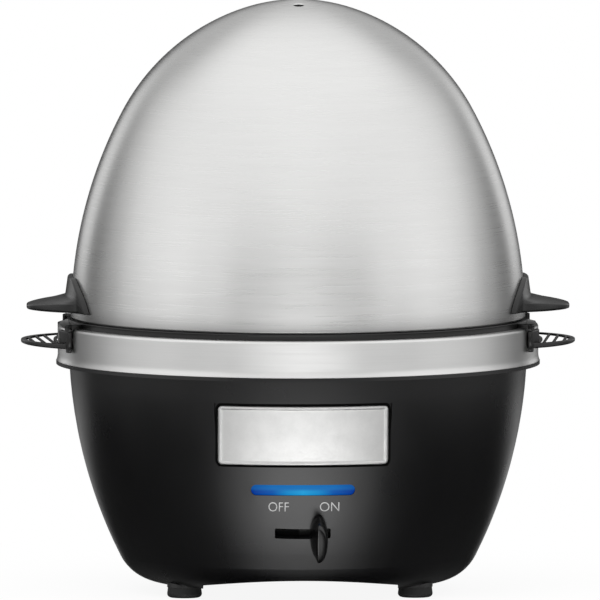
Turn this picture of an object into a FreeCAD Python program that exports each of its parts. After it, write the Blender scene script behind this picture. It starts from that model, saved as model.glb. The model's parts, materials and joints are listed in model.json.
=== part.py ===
import FreeCAD, Part
import math
import os
from types import SimpleNamespace

import Sketcher
from FreeCAD import Placement, Rotation, Vector

# Domestic electric egg cooker: black base with a heated dish, lower and upper egg trays and a steel dome lid.
# Millimetres and degrees. +Z is up, the switch faces -Y, the handles point along +X and -X.
# The origin lies on the table under the middle of the base.

DRIVING_SIZES = {
    # Base housing shell
    "underside_level": 4.0,
    "corner_centre_radius": 52.6,
    "corner_radius": 17.9,
    "flank_angle": 26.6,
    "flank_radius": 187.4,
    "housing_wall": 2.5,
    "brow_height": 21.3,
    "lip_width": 5.1,
    "lip_thickness": 1.3,
    "collar_wall": 2.5,
    "collar_clearance": 0.3,
    "throat_height": 2.5,
    "ledge_margin": 5.0,
    "ledge_thickness": 2.0,
    "arch_gap": 0.2,
    "arch_spring_rise": 2.1,
    "arch_crown_rise": 5.2,
    # Feet and the pillars above them
    "foot_radius": 6.7,
    "foot_round": 1.5,
    "foot_taper": 0.3,
    "foot_offset": 1.0,
    "foot_angle": 34.05,
    "foot_stem_radius": 2.9,
    "foot_stem_length": 5.0,
    "foot_stem_clearance": 0.05,
    "pillar_radius": 6.7,
    # Bottom cover
    "cover_recess": 5.8,
    "cover_thickness": 2.0,
    "cover_gap": 0.9,
    "cover_vent_count": 8,
    "cover_vent_width": 3.0,
    "cover_vent_corner": 1.0,
    "cover_vent_inner_radius": 13.0,
    "cover_vent_margin": 5.0,
    "cover_screw_inset": 4.5,
    "cover_screw_count": 4,
    "cover_boss_height": 7.0,
    "boss_radius": 3.6,
    # Small screws
    "screw_radius": 1.3,
    "screw_length": 8.0,
    "screw_head_radius": 2.8,
    "screw_head_height": 1.6,
    "screw_clearance": 0.1,
    # Trim ring
    "ring_setback": 0.6,
    "ring_height": 14.0,
    "ring_wall": 0.8,
    "ring_round": 1.6,
    "ring_fold_width": 6.7,
    # Heated dish and its seal
    "dish_gap": 1.9,
    "dish_wall": 1.2,
    "dish_depth": 22.1,
    "dish_corner": 8.0,
    "gasket_thickness": 1.2,
    "gasket_inset": 0.2,
    "stud_radius": 2.0,
    "stud_tail": 1.1,
    "stud_margin": 16.0,
    "stud_count": 3,
    "stud_clearance": 0.2,
    # Heater under the dish
    "element_radius": 3.3,
    "element_margin": 10.0,
    "element_angle": 300.0,
    "element_gap": 0.1,
    "terminal_radius": 1.8,
    "terminal_length": 16.0,
    "terminal_inset_angle": 3.0,
    "terminal_clearance": 0.6,
    "terminal_air_gap": 1.8,
    "clamp_radius": 60.0,
    "clamp_thickness": 1.5,
    "clamp_hole_radius": 14.0,
    "nut_radius": 4.0,
    "nut_height": 3.2,
    "spacer_radius": 4.5,
    "spacer_length": 8.4,
    "shield_radius": 57.0,
    "shield_wall": 0.8,
    "shield_edge_height": 6.0,
    # Thermostat, its strap and the thermal fuse
    "thermostat_radius": 9.0,
    "thermostat_height": 10.4,
    "thermostat_flange_radius": 11.5,
    "thermostat_flange_height": 1.6,
    "strap_width": 9.0,
    "strap_thickness": 1.0,
    "strap_half_span": 13.0,
    "strap_foot_length": 8.0,
    "fuse_radius": 2.0,
    "fuse_length": 12.0,
    "fuse_x": 40.0,
    "fuse_clip_wall": 0.6,
    "fuse_clip_width": 6.0,
    "fuse_clip_foot": 4.0,
    # Control board with its lamps, sounder and terminals
    "board_half_width": 27.0,
    "board_height": 22.0,
    "board_thickness": 1.6,
    "board_setback": 20.0,
    "board_drop": 4.4,
    "board_boss_x": 22.0,
    "board_boss_rise": 11.6,
    "board_screw_clearance": 0.2,
    "lamp_radius": 2.5,
    "lamp_gap": 3.2,
    "lamp_spacing": 13.0,
    "lamp_count": 3,
    "sounder_radius": 6.0,
    "sounder_height": 7.5,
    "sounder_mouth_radius": 1.5,
    "sounder_x": -8.0,
    "sounder_rise": 7.1,
    "terminals_width": 20.0,
    "terminals_height": 8.0,
    "terminals_depth": 9.0,
    "terminals_way_radius": 1.6,
    "terminals_way_depth": 6.0,
    "terminals_x": 12.0,
    "terminals_rise": 4.6,
    # Blue light bar and badge plate on the front
    "light_rise": 17.3,
    "light_width": 39.7,
    "light_height": 4.0,
    "light_depth": 5.5,
    "light_proud": 0.3,
    "light_clearance": 0.1,
    "badge_rise": 21.3,
    "badge_width": 65.2,
    "badge_height": 22.8,
    "badge_corner": 1.6,
    "badge_proud": 0.9,
    "badge_recess": 0.8,
    "badge_margin": 0.9,
    "badge_bond": 0.05,
    # Slide switch
    "switch_rise": 24.1,
    "switch_slot_clearance": 0.35,
    "switch_slot_corner": 0.6,
    "switch_boss_bite": 0.42,
    "switch_travel": 12.4,
    "knob_width": 6.5,
    "knob_height": 18.7,
    "knob_depth": 9.5,
    "knob_gap": 0.6,
    "knob_neck_width": 5.0,
    "knob_neck_height": 3.6,
    "knob_neck_play": 2.0,
    "slider_length": 15.0,
    "slider_height": 9.0,
    "slider_thickness": 1.8,
    "slider_depth": 4.8,
    "slider_peg": 3.0,
    "slider_peg_length": 3.0,
    "slider_gap": 0.3,
    "slider_end_gap": 1.2,
    "switch_body_height": 11.0,
    "switch_body_depth": 10.0,
    "switch_ear_gap": 1.7,
    "switch_ear_thickness": 2.0,
    "switch_screw_length": 5.0,
    # Cord gland on the back
    "gland_rise": 26.0,
    "gland_boss_radius": 10.5,
    "gland_boss_proud": 3.25,
    "gland_boss_length": 13.0,
    "gland_bore_radius": 3.4,
    "gland_neck_radius": 6.0,
    "gland_flange_radius": 8.5,
    "gland_flange_thickness": 2.5,
    "gland_tip_radius": 4.6,
    "gland_snout_length": 11.0,
    "gland_clearance": 0.05,
    # Lower egg tray
    "tray_wall": 2.2,
    "tray_flange_thickness": 2.3,
    "tray_flange_setback": 4.4,
    "tray_clearance": 1.0,
    "tray_depth": 9.6,
    "tray_lip_height": 2.8,
    "tray_lip_thickness": 1.9,
    "egg_hole_radius": 17.0,
    "egg_hole_margin": 9.4,
    "egg_count": 6,
    "steam_hole_radius": 4.0,
    # Handles of the lower egg tray
    "hook_thickness": 1.6,
    "hook_clearance": 0.3,
    "hook_drop": 11.2,
    "hook_angle": 38.6,
    "hook_window_half_width": 20.0,
    "hook_lug_half_gap": 27.5,
    "hook_wall_drop": 3.0,
    "hook_fit": 0.1,
    "blade_reach": 14.2,
    "blade_plan_radius": 34.0,
    "blade_thickness": 2.0,
    "blade_rise": 1.3,
    "blade_rim": 2.6,
    "blade_slot_width": 2.0,
    "blade_slot_web": 1.6,
    "blade_slot_slant": 5.0,
    # Upper egg tray
    "leg_length": 51.8,
    "upper_tray_radius": 52.0,
    "upper_rim_height": 4.0,
    "upper_egg_margin": 5.8,
    "upper_egg_count": 3,
    "upper_finger_radius": 6.0,
    "leg_radius": 4.0,
    "leg_spigot_radius": 2.8,
    "leg_spigot_length": 5.0,
    "leg_socket_clearance": 0.2,
    # Dome lid
    "dome_setback": 0.72,
    "dome_flank_radius": 170.5,
    "dome_flank_angle": 28.1,
    "dome_shoulder_radius": 82.0,
    "dome_shoulder_angle": 71.6,
    "dome_wall": 0.8,
    "dome_hem_height": 3.0,
    "vent_radius": 2.0,
    "vent_offset": 13.0,
    # Handles of the lid
    "grip_rise": 3.6,
    "grip_shield_height": 12.7,
    "grip_shield_thickness": 2.4,
    "grip_shield_crest": 14.0,
    "grip_shield_half_width": 33.0,
    "grip_reach": 17.4,
    "grip_plan_radius": 27.0,
    "grip_root_thickness": 3.9,
    "grip_tip_thickness": 1.9,
    "grip_top_round": 60.0,
    "grip_gap": 0.05,
    "grip_screw_y": 11.0,
    "grip_screw_rise": 1.9,
    "grip_screw_radius": 1.2,
    "grip_screw_length": 9.0,
    "grip_screw_head_radius": 2.6,
    "grip_screw_head_height": 1.5,
    # Cuts run this far past the material that they remove
    "overrun": 5.0,
}

doc = FreeCAD.newDocument("egg_cooker")
sheet = doc.addObject("Spreadsheet::Sheet", "Sizes")
for row, (alias, value) in enumerate(DRIVING_SIZES.items(), start=1):
    sheet.set(f"A{row}", alias)
    sheet.set(f"B{row}", str(value))
    sheet.setAlias(f"B{row}", alias)
doc.recompute()


class Size:
    """A value worked out from the driving sizes, with the formula that keeps a property bound to them."""

    def __init__(self, value, formula):
        self.value = value
        self.formula = formula

    def __add__(self, other):
        other = as_size(other)
        return Size(self.value + other.value, f"({self.formula} + {other.formula})")

    def __sub__(self, other):
        other = as_size(other)
        return Size(self.value - other.value, f"({self.formula} - {other.formula})")

    def __mul__(self, other):
        other = as_size(other)
        return Size(self.value * other.value, f"({self.formula} * {other.formula})")

    def __truediv__(self, other):
        other = as_size(other)
        return Size(self.value / other.value, f"({self.formula} / {other.formula})")

    def __neg__(self):
        return Size(-self.value, f"(0 - {self.formula})")


def as_size(number):
    """A plain number, such as a count or a sign, as a Size."""
    return number if isinstance(number, Size) else Size(number, f"({number})")


def root(size):
    return Size(math.sqrt(size.value), f"sqrt({size.formula})")


def sine(angle):
    return Size(math.sin(math.radians(angle.value)), f"sin({angle.formula})")


def cosine(angle):
    return Size(math.cos(math.radians(angle.value)), f"cos({angle.formula})")


def angle_with_cosine(ratio):
    """In degrees, as a plain number that can be added to other angles."""
    return Size(math.degrees(math.acos(ratio.value)), f"(acos({ratio.formula}) / 1 deg)")


def angle_with_sine(ratio):
    return Size(math.degrees(math.asin(ratio.value)), f"(asin({ratio.formula}) / 1 deg)")


def other_leg(long_side, leg):
    """The third side of a right triangle, from its long side and one leg."""
    return root(long_side * long_side - leg * leg)


def arc_through(half_chord, rise):
    """The radius of the arc over a chord that stands this high above it."""
    return (half_chord * half_chord + rise * rise) / (rise * 2)


size = SimpleNamespace(**{alias: Size(value, f"Sizes.{alias}") for alias, value in DRIVING_SIZES.items()})
ZERO = as_size(0)
TURN = as_size(360)
HALF_TURN = as_size(180)
QUARTER_TURN = as_size(90)


# Document helpers

def new_body(label):
    body = doc.addObject("PartDesign::Body", label)
    body.Label = label
    return body


def origin_feature(body, role):
    return next(feature for feature in body.Origin.OriginFeatures if feature.Role == role)


def bind(thing, path, value):
    thing.setExpression(path, as_size(value).formula)


def place(thing, x=ZERO, y=ZERO, z=ZERO, axis=Vector(0, 0, 1), angle=ZERO, where="Placement"):
    """Put a piece, or a sketch by its attachment offset, at a point and turned about an axis."""
    x, y, z, angle = as_size(x), as_size(y), as_size(z), as_size(angle)
    setattr(thing, where, Placement(Vector(x.value, y.value, z.value), Rotation(axis, angle.value)))
    bind(thing, f"{where}.Base.x", x)
    bind(thing, f"{where}.Base.y", y)
    bind(thing, f"{where}.Base.z", z)
    if angle.value:
        bind(thing, f"{where}.Rotation.Angle", angle)


def new_sketch(body, plane="XY_Plane", away=ZERO):
    """A sketch on one of the body's own planes, moved along the plane's normal."""
    sketch = body.newObject("Sketcher::SketchObject", f"{body.Name}_sketch")
    sketch.AttachmentSupport = [(origin_feature(body, plane), "")]
    sketch.MapMode = "FlatFace"
    place(sketch, z=away, where="AttachmentOffset")
    return sketch


def arc_edge(start, end, radius):
    """The short arc between two points, anticlockwise for a positive radius."""
    chord = end - start
    rise = math.sqrt(max(radius * radius - chord.Length * chord.Length / 4, 0))
    side = Vector(-chord.y, chord.x, 0).normalize() * rise
    centre = (start + end) / 2 + (side if radius > 0 else -side)
    first, last = (start, end) if radius > 0 else (end, start)
    first_angle = math.atan2(first.y - centre.y, first.x - centre.x)
    last_angle = math.atan2(last.y - centre.y, last.x - centre.x)
    circle = Part.Circle(centre, Vector(0, 0, 1), abs(radius))
    return Part.ArcOfCircle(circle, first_angle, last_angle)


def outline(sketch, corners):
    """One closed outline. A corner is (x, y), or (x, y, radius) where an arc leads into it."""
    corners = [[as_size(entry) for entry in corner] for corner in corners]
    points = [Vector(corner[0].value, corner[1].value, 0) for corner in corners]
    ends = []
    for index in range(len(corners)):
        after = (index + 1) % len(corners)
        if len(corners[after]) > 2:
            radius = corners[after][2]
            edge = sketch.addGeometry(arc_edge(points[index], points[after], radius.value), False)
            ends.append((edge, 1, 2) if radius.value > 0 else (edge, 2, 1))
            magnitude = radius if radius.value > 0 else -radius
            rule = sketch.addConstraint(Sketcher.Constraint("Radius", edge, magnitude.value))
            bind(sketch, f"Constraints[{rule}]", magnitude)
        else:
            edge = sketch.addGeometry(Part.LineSegment(points[index], points[after]), False)
            ends.append((edge, 1, 2))
    for index, (edge, start, _) in enumerate(ends):
        before, _, finish = ends[index - 1]
        sketch.addConstraint(Sketcher.Constraint("Coincident", before, finish, edge, start))
        for kind, entry in (("DistanceX", corners[index][0]), ("DistanceY", corners[index][1])):
            rule = sketch.addConstraint(Sketcher.Constraint(kind, -1, 1, edge, start, entry.value))
            bind(sketch, f"Constraints[{rule}]", entry)
    return sketch


def hole(sketch, radius, x=ZERO, y=ZERO):
    """A full circle in a sketch."""
    radius, x, y = as_size(radius), as_size(x), as_size(y)
    circle = Part.Circle(Vector(x.value, y.value, 0), Vector(0, 0, 1), radius.value)
    edge = sketch.addGeometry(circle, False)
    rule = sketch.addConstraint(Sketcher.Constraint("Radius", edge, radius.value))
    bind(sketch, f"Constraints[{rule}]", radius)
    for kind, entry in (("DistanceX", x), ("DistanceY", y)):
        rule = sketch.addConstraint(Sketcher.Constraint(kind, -1, 1, edge, 3, entry.value))
        bind(sketch, f"Constraints[{rule}]", entry)
    return sketch


def rectangle(sketch, half_width, half_height, x=ZERO, y=ZERO, corner=None):
    """A rectangle about (x, y), with rounded corners if a radius is given."""
    left, right, low, high = x - half_width, x + half_width, y - half_height, y + half_height
    if corner is None:
        return outline(sketch, [(left, low), (right, low), (right, high), (left, high)])
    return outline(sketch, [
        (left + corner, low, corner), (right - corner, low), (right, low + corner, corner),
        (right, high - corner), (right - corner, high, corner),
        (left + corner, high), (left, high - corner, corner), (left, low + corner)])


def extrude(sketch, length, both_ways=False, backwards=False):
    """Add material along the sketch's normal."""
    pad = sketch.getParentGeoFeatureGroup().newObject("PartDesign::Pad", "pad")
    pad.Profile = sketch
    pad.Midplane = both_ways
    pad.Reversed = backwards
    bind(pad, "Length", length)
    doc.recompute()
    return pad


def volume_of(body):
    return body.Tip.Shape.Volume


def cut(sketch, length=None, both_ways=False, backwards=False):
    """Remove material along the sketch's normal, right through if no length is given."""
    body = sketch.getParentGeoFeatureGroup()
    before = volume_of(body)
    pocket = body.newObject("PartDesign::Pocket", "pocket")
    pocket.Profile = sketch
    pocket.Midplane = both_ways
    pocket.Reversed = not backwards
    if length is None:
        pocket.Type = "ThroughAll"
    else:
        bind(pocket, "Length", length)
    doc.recompute()
    if volume_of(body) >= before:
        raise RuntimeError(f"{body.Label}: {pocket.Name} removed nothing")
    return pocket


def revolve(sketch, angle=TURN):
    """Turn a sketch about its own vertical axis, half of the angle to each side."""
    turned = sketch.getParentGeoFeatureGroup().newObject("PartDesign::Revolution", "turned")
    turned.Profile = sketch
    turned.ReferenceAxis = (sketch, ["V_Axis"])
    turned.Midplane = angle is not TURN
    bind(turned, "Angle", angle)
    doc.recompute()
    return turned


def groove(sketch, angle=TURN):
    """Remove what a sketch sweeps about its own vertical axis."""
    body = sketch.getParentGeoFeatureGroup()
    before = volume_of(body)
    cutter = body.newObject("PartDesign::Groove", "groove")
    cutter.Profile = sketch
    cutter.ReferenceAxis = (sketch, ["V_Axis"])
    cutter.Midplane = angle is not TURN
    bind(cutter, "Angle", angle)
    doc.recompute()
    if volume_of(body) >= before:
        raise RuntimeError(f"{body.Label}: {cutter.Name} removed nothing")
    return cutter


def repeat(feature, count):
    """The feature again at even steps round the body's own Z axis."""
    body = feature.getParentGeoFeatureGroup()
    pattern = body.newObject("PartDesign::PolarPattern", "pattern")
    pattern.Originals = [feature]
    pattern.Axis = (origin_feature(body, "Z_Axis"), [""])
    pattern.Angle = TURN.value
    bind(pattern, "Occurrences", count)
    body.Tip = pattern
    doc.recompute()
    return pattern


def group(label, members):
    """Several separate solids that share one node."""
    compound = doc.addObject("Part::Compound", label)
    compound.Label = label
    compound.Links = members
    return compound


def polar(circle, step, count, start=ZERO):
    """The place on a circle of one of several even steps."""
    angle = TURN / count * step + start
    return circle * cosine(angle), circle * sine(angle)


# The housing's flank, which most places on the base follow

corner_level = size.underside_level + size.corner_radius
join_radius = size.corner_centre_radius + size.corner_radius * cosine(size.flank_angle)
join_level = corner_level - size.corner_radius * sine(size.flank_angle)
flank_centre = join_radius - size.flank_radius * cosine(size.flank_angle)
flank_centre_level = join_level + size.flank_radius * sine(size.flank_angle)


def flank_at(level, inset=ZERO):
    """The housing's radius at a level, or that of a face set in from its outside."""
    reach = size.flank_radius - inset
    return flank_centre + other_leg(reach, level - flank_centre_level)


def corner_at(level, inset):
    """The radius of the housing's lower corner at a level."""
    return size.corner_centre_radius + other_leg(size.corner_radius - inset, corner_level - level)


# Levels and radii shared by several pieces

switch_level = size.underside_level + size.switch_rise
light_level = switch_level + size.light_rise
badge_level = light_level + size.badge_rise
housing_top_level = badge_level + size.brow_height
gland_level = size.underside_level + size.gland_rise

foot_circle = size.corner_centre_radius + size.foot_offset
foot_x = foot_circle * cosine(size.foot_angle)
foot_y = foot_circle * sine(size.foot_angle)
arch_half_width = foot_x - size.foot_radius - size.arch_gap
cover_level = size.underside_level + size.cover_recess
cover_radius = foot_circle - size.pillar_radius - size.cover_gap
cover_screw_circle = cover_radius - size.cover_screw_inset
ledge_level = cover_level + size.cover_thickness
ledge_radius = cover_screw_circle - size.ledge_margin
cover_vent_outer_radius = ledge_radius - size.cover_vent_margin

lip_radius = flank_at(housing_top_level) + size.lip_width
lip_top_level = housing_top_level + size.lip_thickness
ring_radius = lip_radius - size.ring_setback
ring_top_level = lip_top_level + size.ring_height
ring_bore_radius = ring_radius - size.ring_wall
ring_fold_radius = ring_radius - size.ring_fold_width
collar_radius = ring_bore_radius - size.collar_clearance
collar_bore_radius = collar_radius - size.collar_wall
dish_radius = flank_at(housing_top_level, size.housing_wall) - size.dish_gap - size.dish_wall
dish_top_level = ring_top_level - size.ring_wall
dish_floor_level = dish_top_level - size.dish_depth
dish_under_level = dish_floor_level - size.dish_wall
collar_top_level = dish_top_level - size.dish_wall - size.gasket_thickness

element_circle = size.clamp_radius - size.element_margin
stud_circle = size.clamp_hole_radius + size.stud_margin
clamp_level = dish_under_level - size.element_radius * 2 - size.element_gap * 2 - size.clamp_thickness
spacer_level = clamp_level - size.nut_height - size.spacer_length
shield_level = spacer_level - size.shield_wall
stud_length = dish_under_level - shield_level + size.nut_height + size.stud_tail

board_y = size.board_setback - flank_at(light_level)
board_bottom_level = light_level - size.board_drop
board_boss_level = light_level + size.board_boss_rise
sounder_level = light_level + size.sounder_rise
terminals_level = light_level + size.terminals_rise
lamp_length = flank_at(light_level, size.light_depth) + board_y - size.board_thickness - size.lamp_gap
switch_slot_length = size.switch_travel + size.knob_neck_width + size.knob_neck_play * 2
switch_slot_height = size.knob_neck_height + size.switch_slot_clearance * 2
switch_ear_x = (size.slider_length + size.switch_travel) / 2 + size.boss_radius + size.slider_end_gap
switch_body_length = (switch_ear_x - size.screw_head_radius - size.switch_ear_gap) * 2
gland_boss_y = flank_at(gland_level) + size.gland_boss_proud

tray_flange_radius = ring_radius - size.tray_flange_setback
tray_top_level = ring_top_level + size.tray_flange_thickness
tray_floor_level = tray_top_level - size.tray_depth
tray_deck_level = tray_floor_level + size.tray_wall
egg_circle = dish_radius - size.tray_clearance - size.tray_wall - size.egg_hole_radius - size.egg_hole_margin
egg_step_angle = TURN / size.egg_count
leg_circle = egg_circle / root(as_size(3))
blade_tip_radius = ring_radius + size.blade_reach
upper_tray_level = tray_deck_level + size.leg_length
upper_egg_circle = size.upper_tray_radius - size.tray_wall - size.egg_hole_radius - size.upper_egg_margin
dome_radius = tray_flange_radius - size.dome_setback
grip_tip_radius = dome_radius + size.grip_reach


switch_lean = angle_with_cosine((switch_level - flank_centre_level) / size.flank_radius)
switch_radius = flank_at(switch_level)


def on_switch(thing, across=ZERO, depth=ZERO, where="Placement"):
    """Place a piece or sketch in the slide switch's frame: local Z is the wall's outward normal there."""
    place(thing, x=across, y=-(switch_radius + depth * sine(switch_lean)),
          z=switch_level + depth * cosine(switch_lean),
          axis=Vector(1, 0, 0), angle=switch_lean, where=where)


# Base

def base_housing():
    """The black shell: a turned wall with its ledge, lip and collar, then bosses and openings."""
    body = new_body("base_housing")
    wall = size.housing_wall
    inner_join_radius = join_radius - wall * cosine(size.flank_angle)
    inner_join_level = join_level + wall * sine(size.flank_angle)
    throat_level = housing_top_level + size.throat_height
    revolve(outline(new_sketch(body, "XZ_Plane"), [
        (size.corner_centre_radius, size.underside_level),
        (join_radius, join_level, size.corner_radius),
        (flank_at(housing_top_level), housing_top_level, size.flank_radius),
        (lip_radius, housing_top_level),
        (lip_radius, lip_top_level),
        (collar_radius, lip_top_level),
        (collar_radius, collar_top_level),
        (collar_bore_radius, collar_top_level),
        (collar_bore_radius, throat_level),
        (flank_at(housing_top_level, wall), housing_top_level),
        (inner_join_radius, inner_join_level, -(size.flank_radius - wall)),
        (corner_at(ledge_level + size.ledge_thickness, wall), ledge_level + size.ledge_thickness,
         -(size.corner_radius - wall)),
        (ledge_radius, ledge_level + size.ledge_thickness),
        (ledge_radius, ledge_level),
        (corner_at(ledge_level, wall), ledge_level),
        (size.corner_centre_radius, size.underside_level + wall, -(size.corner_radius - wall)),
    ]))

    # Pillars for the feet
    pillars = new_sketch(body, away=size.underside_level)
    for x, y in foot_places():
        hole(pillars, size.pillar_radius, x, y)
    extrude(pillars, ledge_level + size.ledge_thickness / 2 - size.underside_level)
    sockets = new_sketch(body, away=size.underside_level)
    for x, y in foot_places():
        hole(sockets, size.foot_stem_radius + size.foot_stem_clearance, x, y)
    cut(sockets, size.foot_stem_length + size.screw_clearance)

    # Bosses for the bottom cover's screws, standing on the ledge
    boss = new_sketch(body, away=ledge_level + size.ledge_thickness / 2)
    hole(boss, size.boss_radius, cover_screw_circle)
    repeat(extrude(boss, size.cover_boss_height + size.ledge_thickness / 2), size.cover_screw_count)
    bore = new_sketch(body, away=ledge_level)
    hole(bore, size.screw_radius + size.screw_clearance, cover_screw_circle)
    repeat(cut(bore, size.screw_length), size.cover_screw_count)

    # Low arch in the skirt between the feet, front and back
    arch_spring_level = size.underside_level + size.arch_spring_rise
    arch_radius = arc_through(arch_half_width, size.arch_crown_rise - size.arch_spring_rise)
    cut(outline(new_sketch(body, "XZ_Plane"), [
        (-arch_half_width, -size.overrun),
        (arch_half_width, -size.overrun),
        (arch_half_width, arch_spring_level),
        (-arch_half_width, arch_spring_level, arch_radius),
    ]), both_ways=True)

    # Bosses behind the front wall for the control board
    boards = new_sketch(body, "XZ_Plane", away=-board_y + size.board_thickness)
    for side in (-1, 1):
        hole(boards, size.boss_radius, size.board_boss_x * side, board_boss_level)
    edge_reach = other_leg(flank_at(board_boss_level), size.board_boss_x + size.boss_radius)
    boss_length = edge_reach - (size.board_thickness - board_y) - size.housing_wall / 2
    extrude(boards, boss_length)
    bores = new_sketch(body, "XZ_Plane", away=-board_y + size.board_thickness)
    for side in (-1, 1):
        hole(bores, size.screw_radius + size.screw_clearance, size.board_boss_x * side, board_boss_level)
    cut(bores, size.screw_length)

    # Bosses for the switch, square to the leaning wall
    switch_bosses = new_sketch(body)
    on_switch(switch_bosses, depth=-switch_ear_depth(), where="AttachmentOffset")
    for side in (-1, 1):
        hole(switch_bosses, size.boss_radius, switch_ear_x * side)
    boss_reach = switch_ear_x + size.boss_radius
    edge_depth = switch_radius - other_leg(switch_radius, boss_reach) + size.switch_boss_bite
    extrude(switch_bosses, switch_ear_depth() - edge_depth)
    switch_bores = new_sketch(body)
    on_switch(switch_bores, depth=-switch_ear_depth(), where="AttachmentOffset")
    for side in (-1, 1):
        hole(switch_bores, size.screw_radius + size.screw_clearance, switch_ear_x * side)
    cut(switch_bores, size.switch_screw_length - size.switch_ear_thickness + size.screw_clearance)

    # Slot for the switch knob
    slot = new_sketch(body)
    on_switch(slot, depth=-size.overrun, where="AttachmentOffset")
    rectangle(slot, switch_slot_length / 2, switch_slot_height / 2, corner=size.switch_slot_corner)
    cut(slot, size.overrun * 2)

    # Slot for the light bar
    window = new_sketch(body, "XZ_Plane")
    half_width = size.light_width / 2 + size.light_clearance
    half_height = size.light_height / 2 + size.light_clearance
    rectangle(window, half_width, half_height, y=light_level, corner=half_height - size.light_clearance / 2)
    cut(window)

    # Shallow seat for the badge plate
    half_height = size.badge_height / 2 + size.badge_margin
    low, high = badge_level - half_height, badge_level + half_height
    half_width = size.badge_width / 2 + size.badge_margin
    half_angle = angle_with_sine(half_width / flank_at(badge_level))
    seat = new_sketch(body, "YZ_Plane")
    outline(seat, [
        (-flank_at(low, size.badge_recess), low),
        (-flank_at(high, size.badge_recess), high, -(size.flank_radius - size.badge_recess)),
        (-flank_at(high, -size.overrun), high),
        (-flank_at(low, -size.overrun), low, size.flank_radius + size.overrun),
    ])
    groove(seat, half_angle * 2)

    # Boss and hole for the cord gland at the back
    gland = new_sketch(body, "XZ_Plane", away=-gland_boss_y)
    hole(gland, size.gland_boss_radius, y=gland_level)
    extrude(gland, size.gland_boss_length)
    passage = new_sketch(body, "XZ_Plane", away=-gland_boss_y - size.overrun)
    hole(passage, size.gland_neck_radius + size.gland_clearance, y=gland_level)
    cut(passage, size.gland_boss_length + size.overrun * 2)
    return body


def foot_places():
    return [(foot_x * side, foot_y * end) for side in (-1, 1) for end in (-1, 1)]


def switch_ear_depth():
    """How far behind the wall's outside the switch's ears seat."""
    return size.slider_depth + size.slider_thickness + size.slider_gap


def foot(number, x, y):
    """A rubber foot with a rounded tread and a stem that plugs into its pillar."""
    body = new_body(f"foot_{number}")
    revolve(outline(new_sketch(body, "XZ_Plane"), [
        (ZERO, ZERO),
        (size.foot_radius - size.foot_round, ZERO),
        (size.foot_radius, size.foot_round, size.foot_round),
        (size.foot_radius - size.foot_taper, size.underside_level),
        (size.foot_stem_radius, size.underside_level),
        (size.foot_stem_radius, size.underside_level + size.foot_stem_length),
        (ZERO, size.underside_level + size.foot_stem_length),
    ]))
    place(body, x, y)
    return body


def bottom_cover():
    """The vented plate that closes the housing from below."""
    body = new_body("bottom_cover")
    plate = new_sketch(body, away=cover_level)
    hole(plate, cover_radius)
    extrude(plate, size.cover_thickness)
    vent = new_sketch(body, away=cover_level)
    middle = (size.cover_vent_inner_radius + cover_vent_outer_radius) / 2
    half_length = (cover_vent_outer_radius - size.cover_vent_inner_radius) / 2
    rectangle(vent, half_length, size.cover_vent_width / 2, x=middle, corner=size.cover_vent_corner)
    repeat(cut(vent, size.cover_thickness), size.cover_vent_count)
    fixing = new_sketch(body, away=cover_level)
    hole(fixing, size.screw_radius + size.screw_clearance, cover_screw_circle)
    repeat(cut(fixing, size.cover_thickness), size.cover_screw_count)
    return body


def screw(label, radius=None, length=None, head_radius=None, head_height=None):
    """A pan-head screw: its seat is at the origin and its shank points along +Z."""
    radius = radius or size.screw_radius
    length = length or size.screw_length
    head_radius = head_radius or size.screw_head_radius
    head_height = head_height or size.screw_head_height
    body = new_body(label)
    revolve(outline(new_sketch(body, "XZ_Plane"), [
        (ZERO, -head_height),
        (head_radius - head_height / 2, -head_height),
        (head_radius, -head_height / 2, head_height / 2),
        (head_radius, ZERO),
        (radius, ZERO),
        (radius, length),
        (ZERO, length),
    ]))
    return body


def bottom_cover_screws():
    screws = []
    for step in range(int(size.cover_screw_count.value)):
        piece = screw(f"bottom_cover_screw_{step + 1}")
        x, y = polar(cover_screw_circle, step, size.cover_screw_count)
        place(piece, x, y, cover_level)
        screws.append(piece)
    return group("bottom_cover_screws", screws)


def trim_ring():
    """The steel band, rounded over at the top and folded in above the dish's flange."""
    body = new_body("trim_ring")
    bend_radius = ring_radius - size.ring_round
    revolve(outline(new_sketch(body, "XZ_Plane"), [
        (ring_bore_radius, lip_top_level),
        (ring_radius, lip_top_level),
        (ring_radius, ring_top_level - size.ring_round),
        (bend_radius, ring_top_level, size.ring_round),
        (ring_fold_radius, ring_top_level),
        (ring_fold_radius, dish_top_level),
        (bend_radius, dish_top_level),
        (ring_bore_radius, ring_top_level - size.ring_round, -(size.ring_round - size.ring_wall)),
    ]))
    return body


def heating_dish():
    """The pressed dish that holds the water, with its flange and the studs under its floor."""
    body = new_body("heating_dish")
    outer = dish_radius + size.dish_wall
    flange = ring_radius - size.ring_round
    revolve(outline(new_sketch(body, "XZ_Plane"), [
        (ZERO, dish_under_level),
        (outer - size.dish_corner, dish_under_level),
        (outer, dish_under_level + size.dish_corner, size.dish_corner),
        (outer, dish_top_level - size.dish_wall),
        (flange, dish_top_level - size.dish_wall),
        (flange, dish_top_level),
        (dish_radius, dish_top_level),
        (dish_radius, dish_under_level + size.dish_corner),
        (outer - size.dish_corner, dish_floor_level, -(size.dish_corner - size.dish_wall)),
        (ZERO, dish_floor_level),
    ]))
    stud = new_sketch(body, away=dish_floor_level - size.dish_wall / 2)
    hole(stud, size.stud_radius, *stud_place(0))
    repeat(extrude(stud, stud_length + size.dish_wall / 2, backwards=True), size.stud_count)
    return body


def stud_place(step):
    return polar(stud_circle, step, size.stud_count, QUARTER_TURN)


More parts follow.
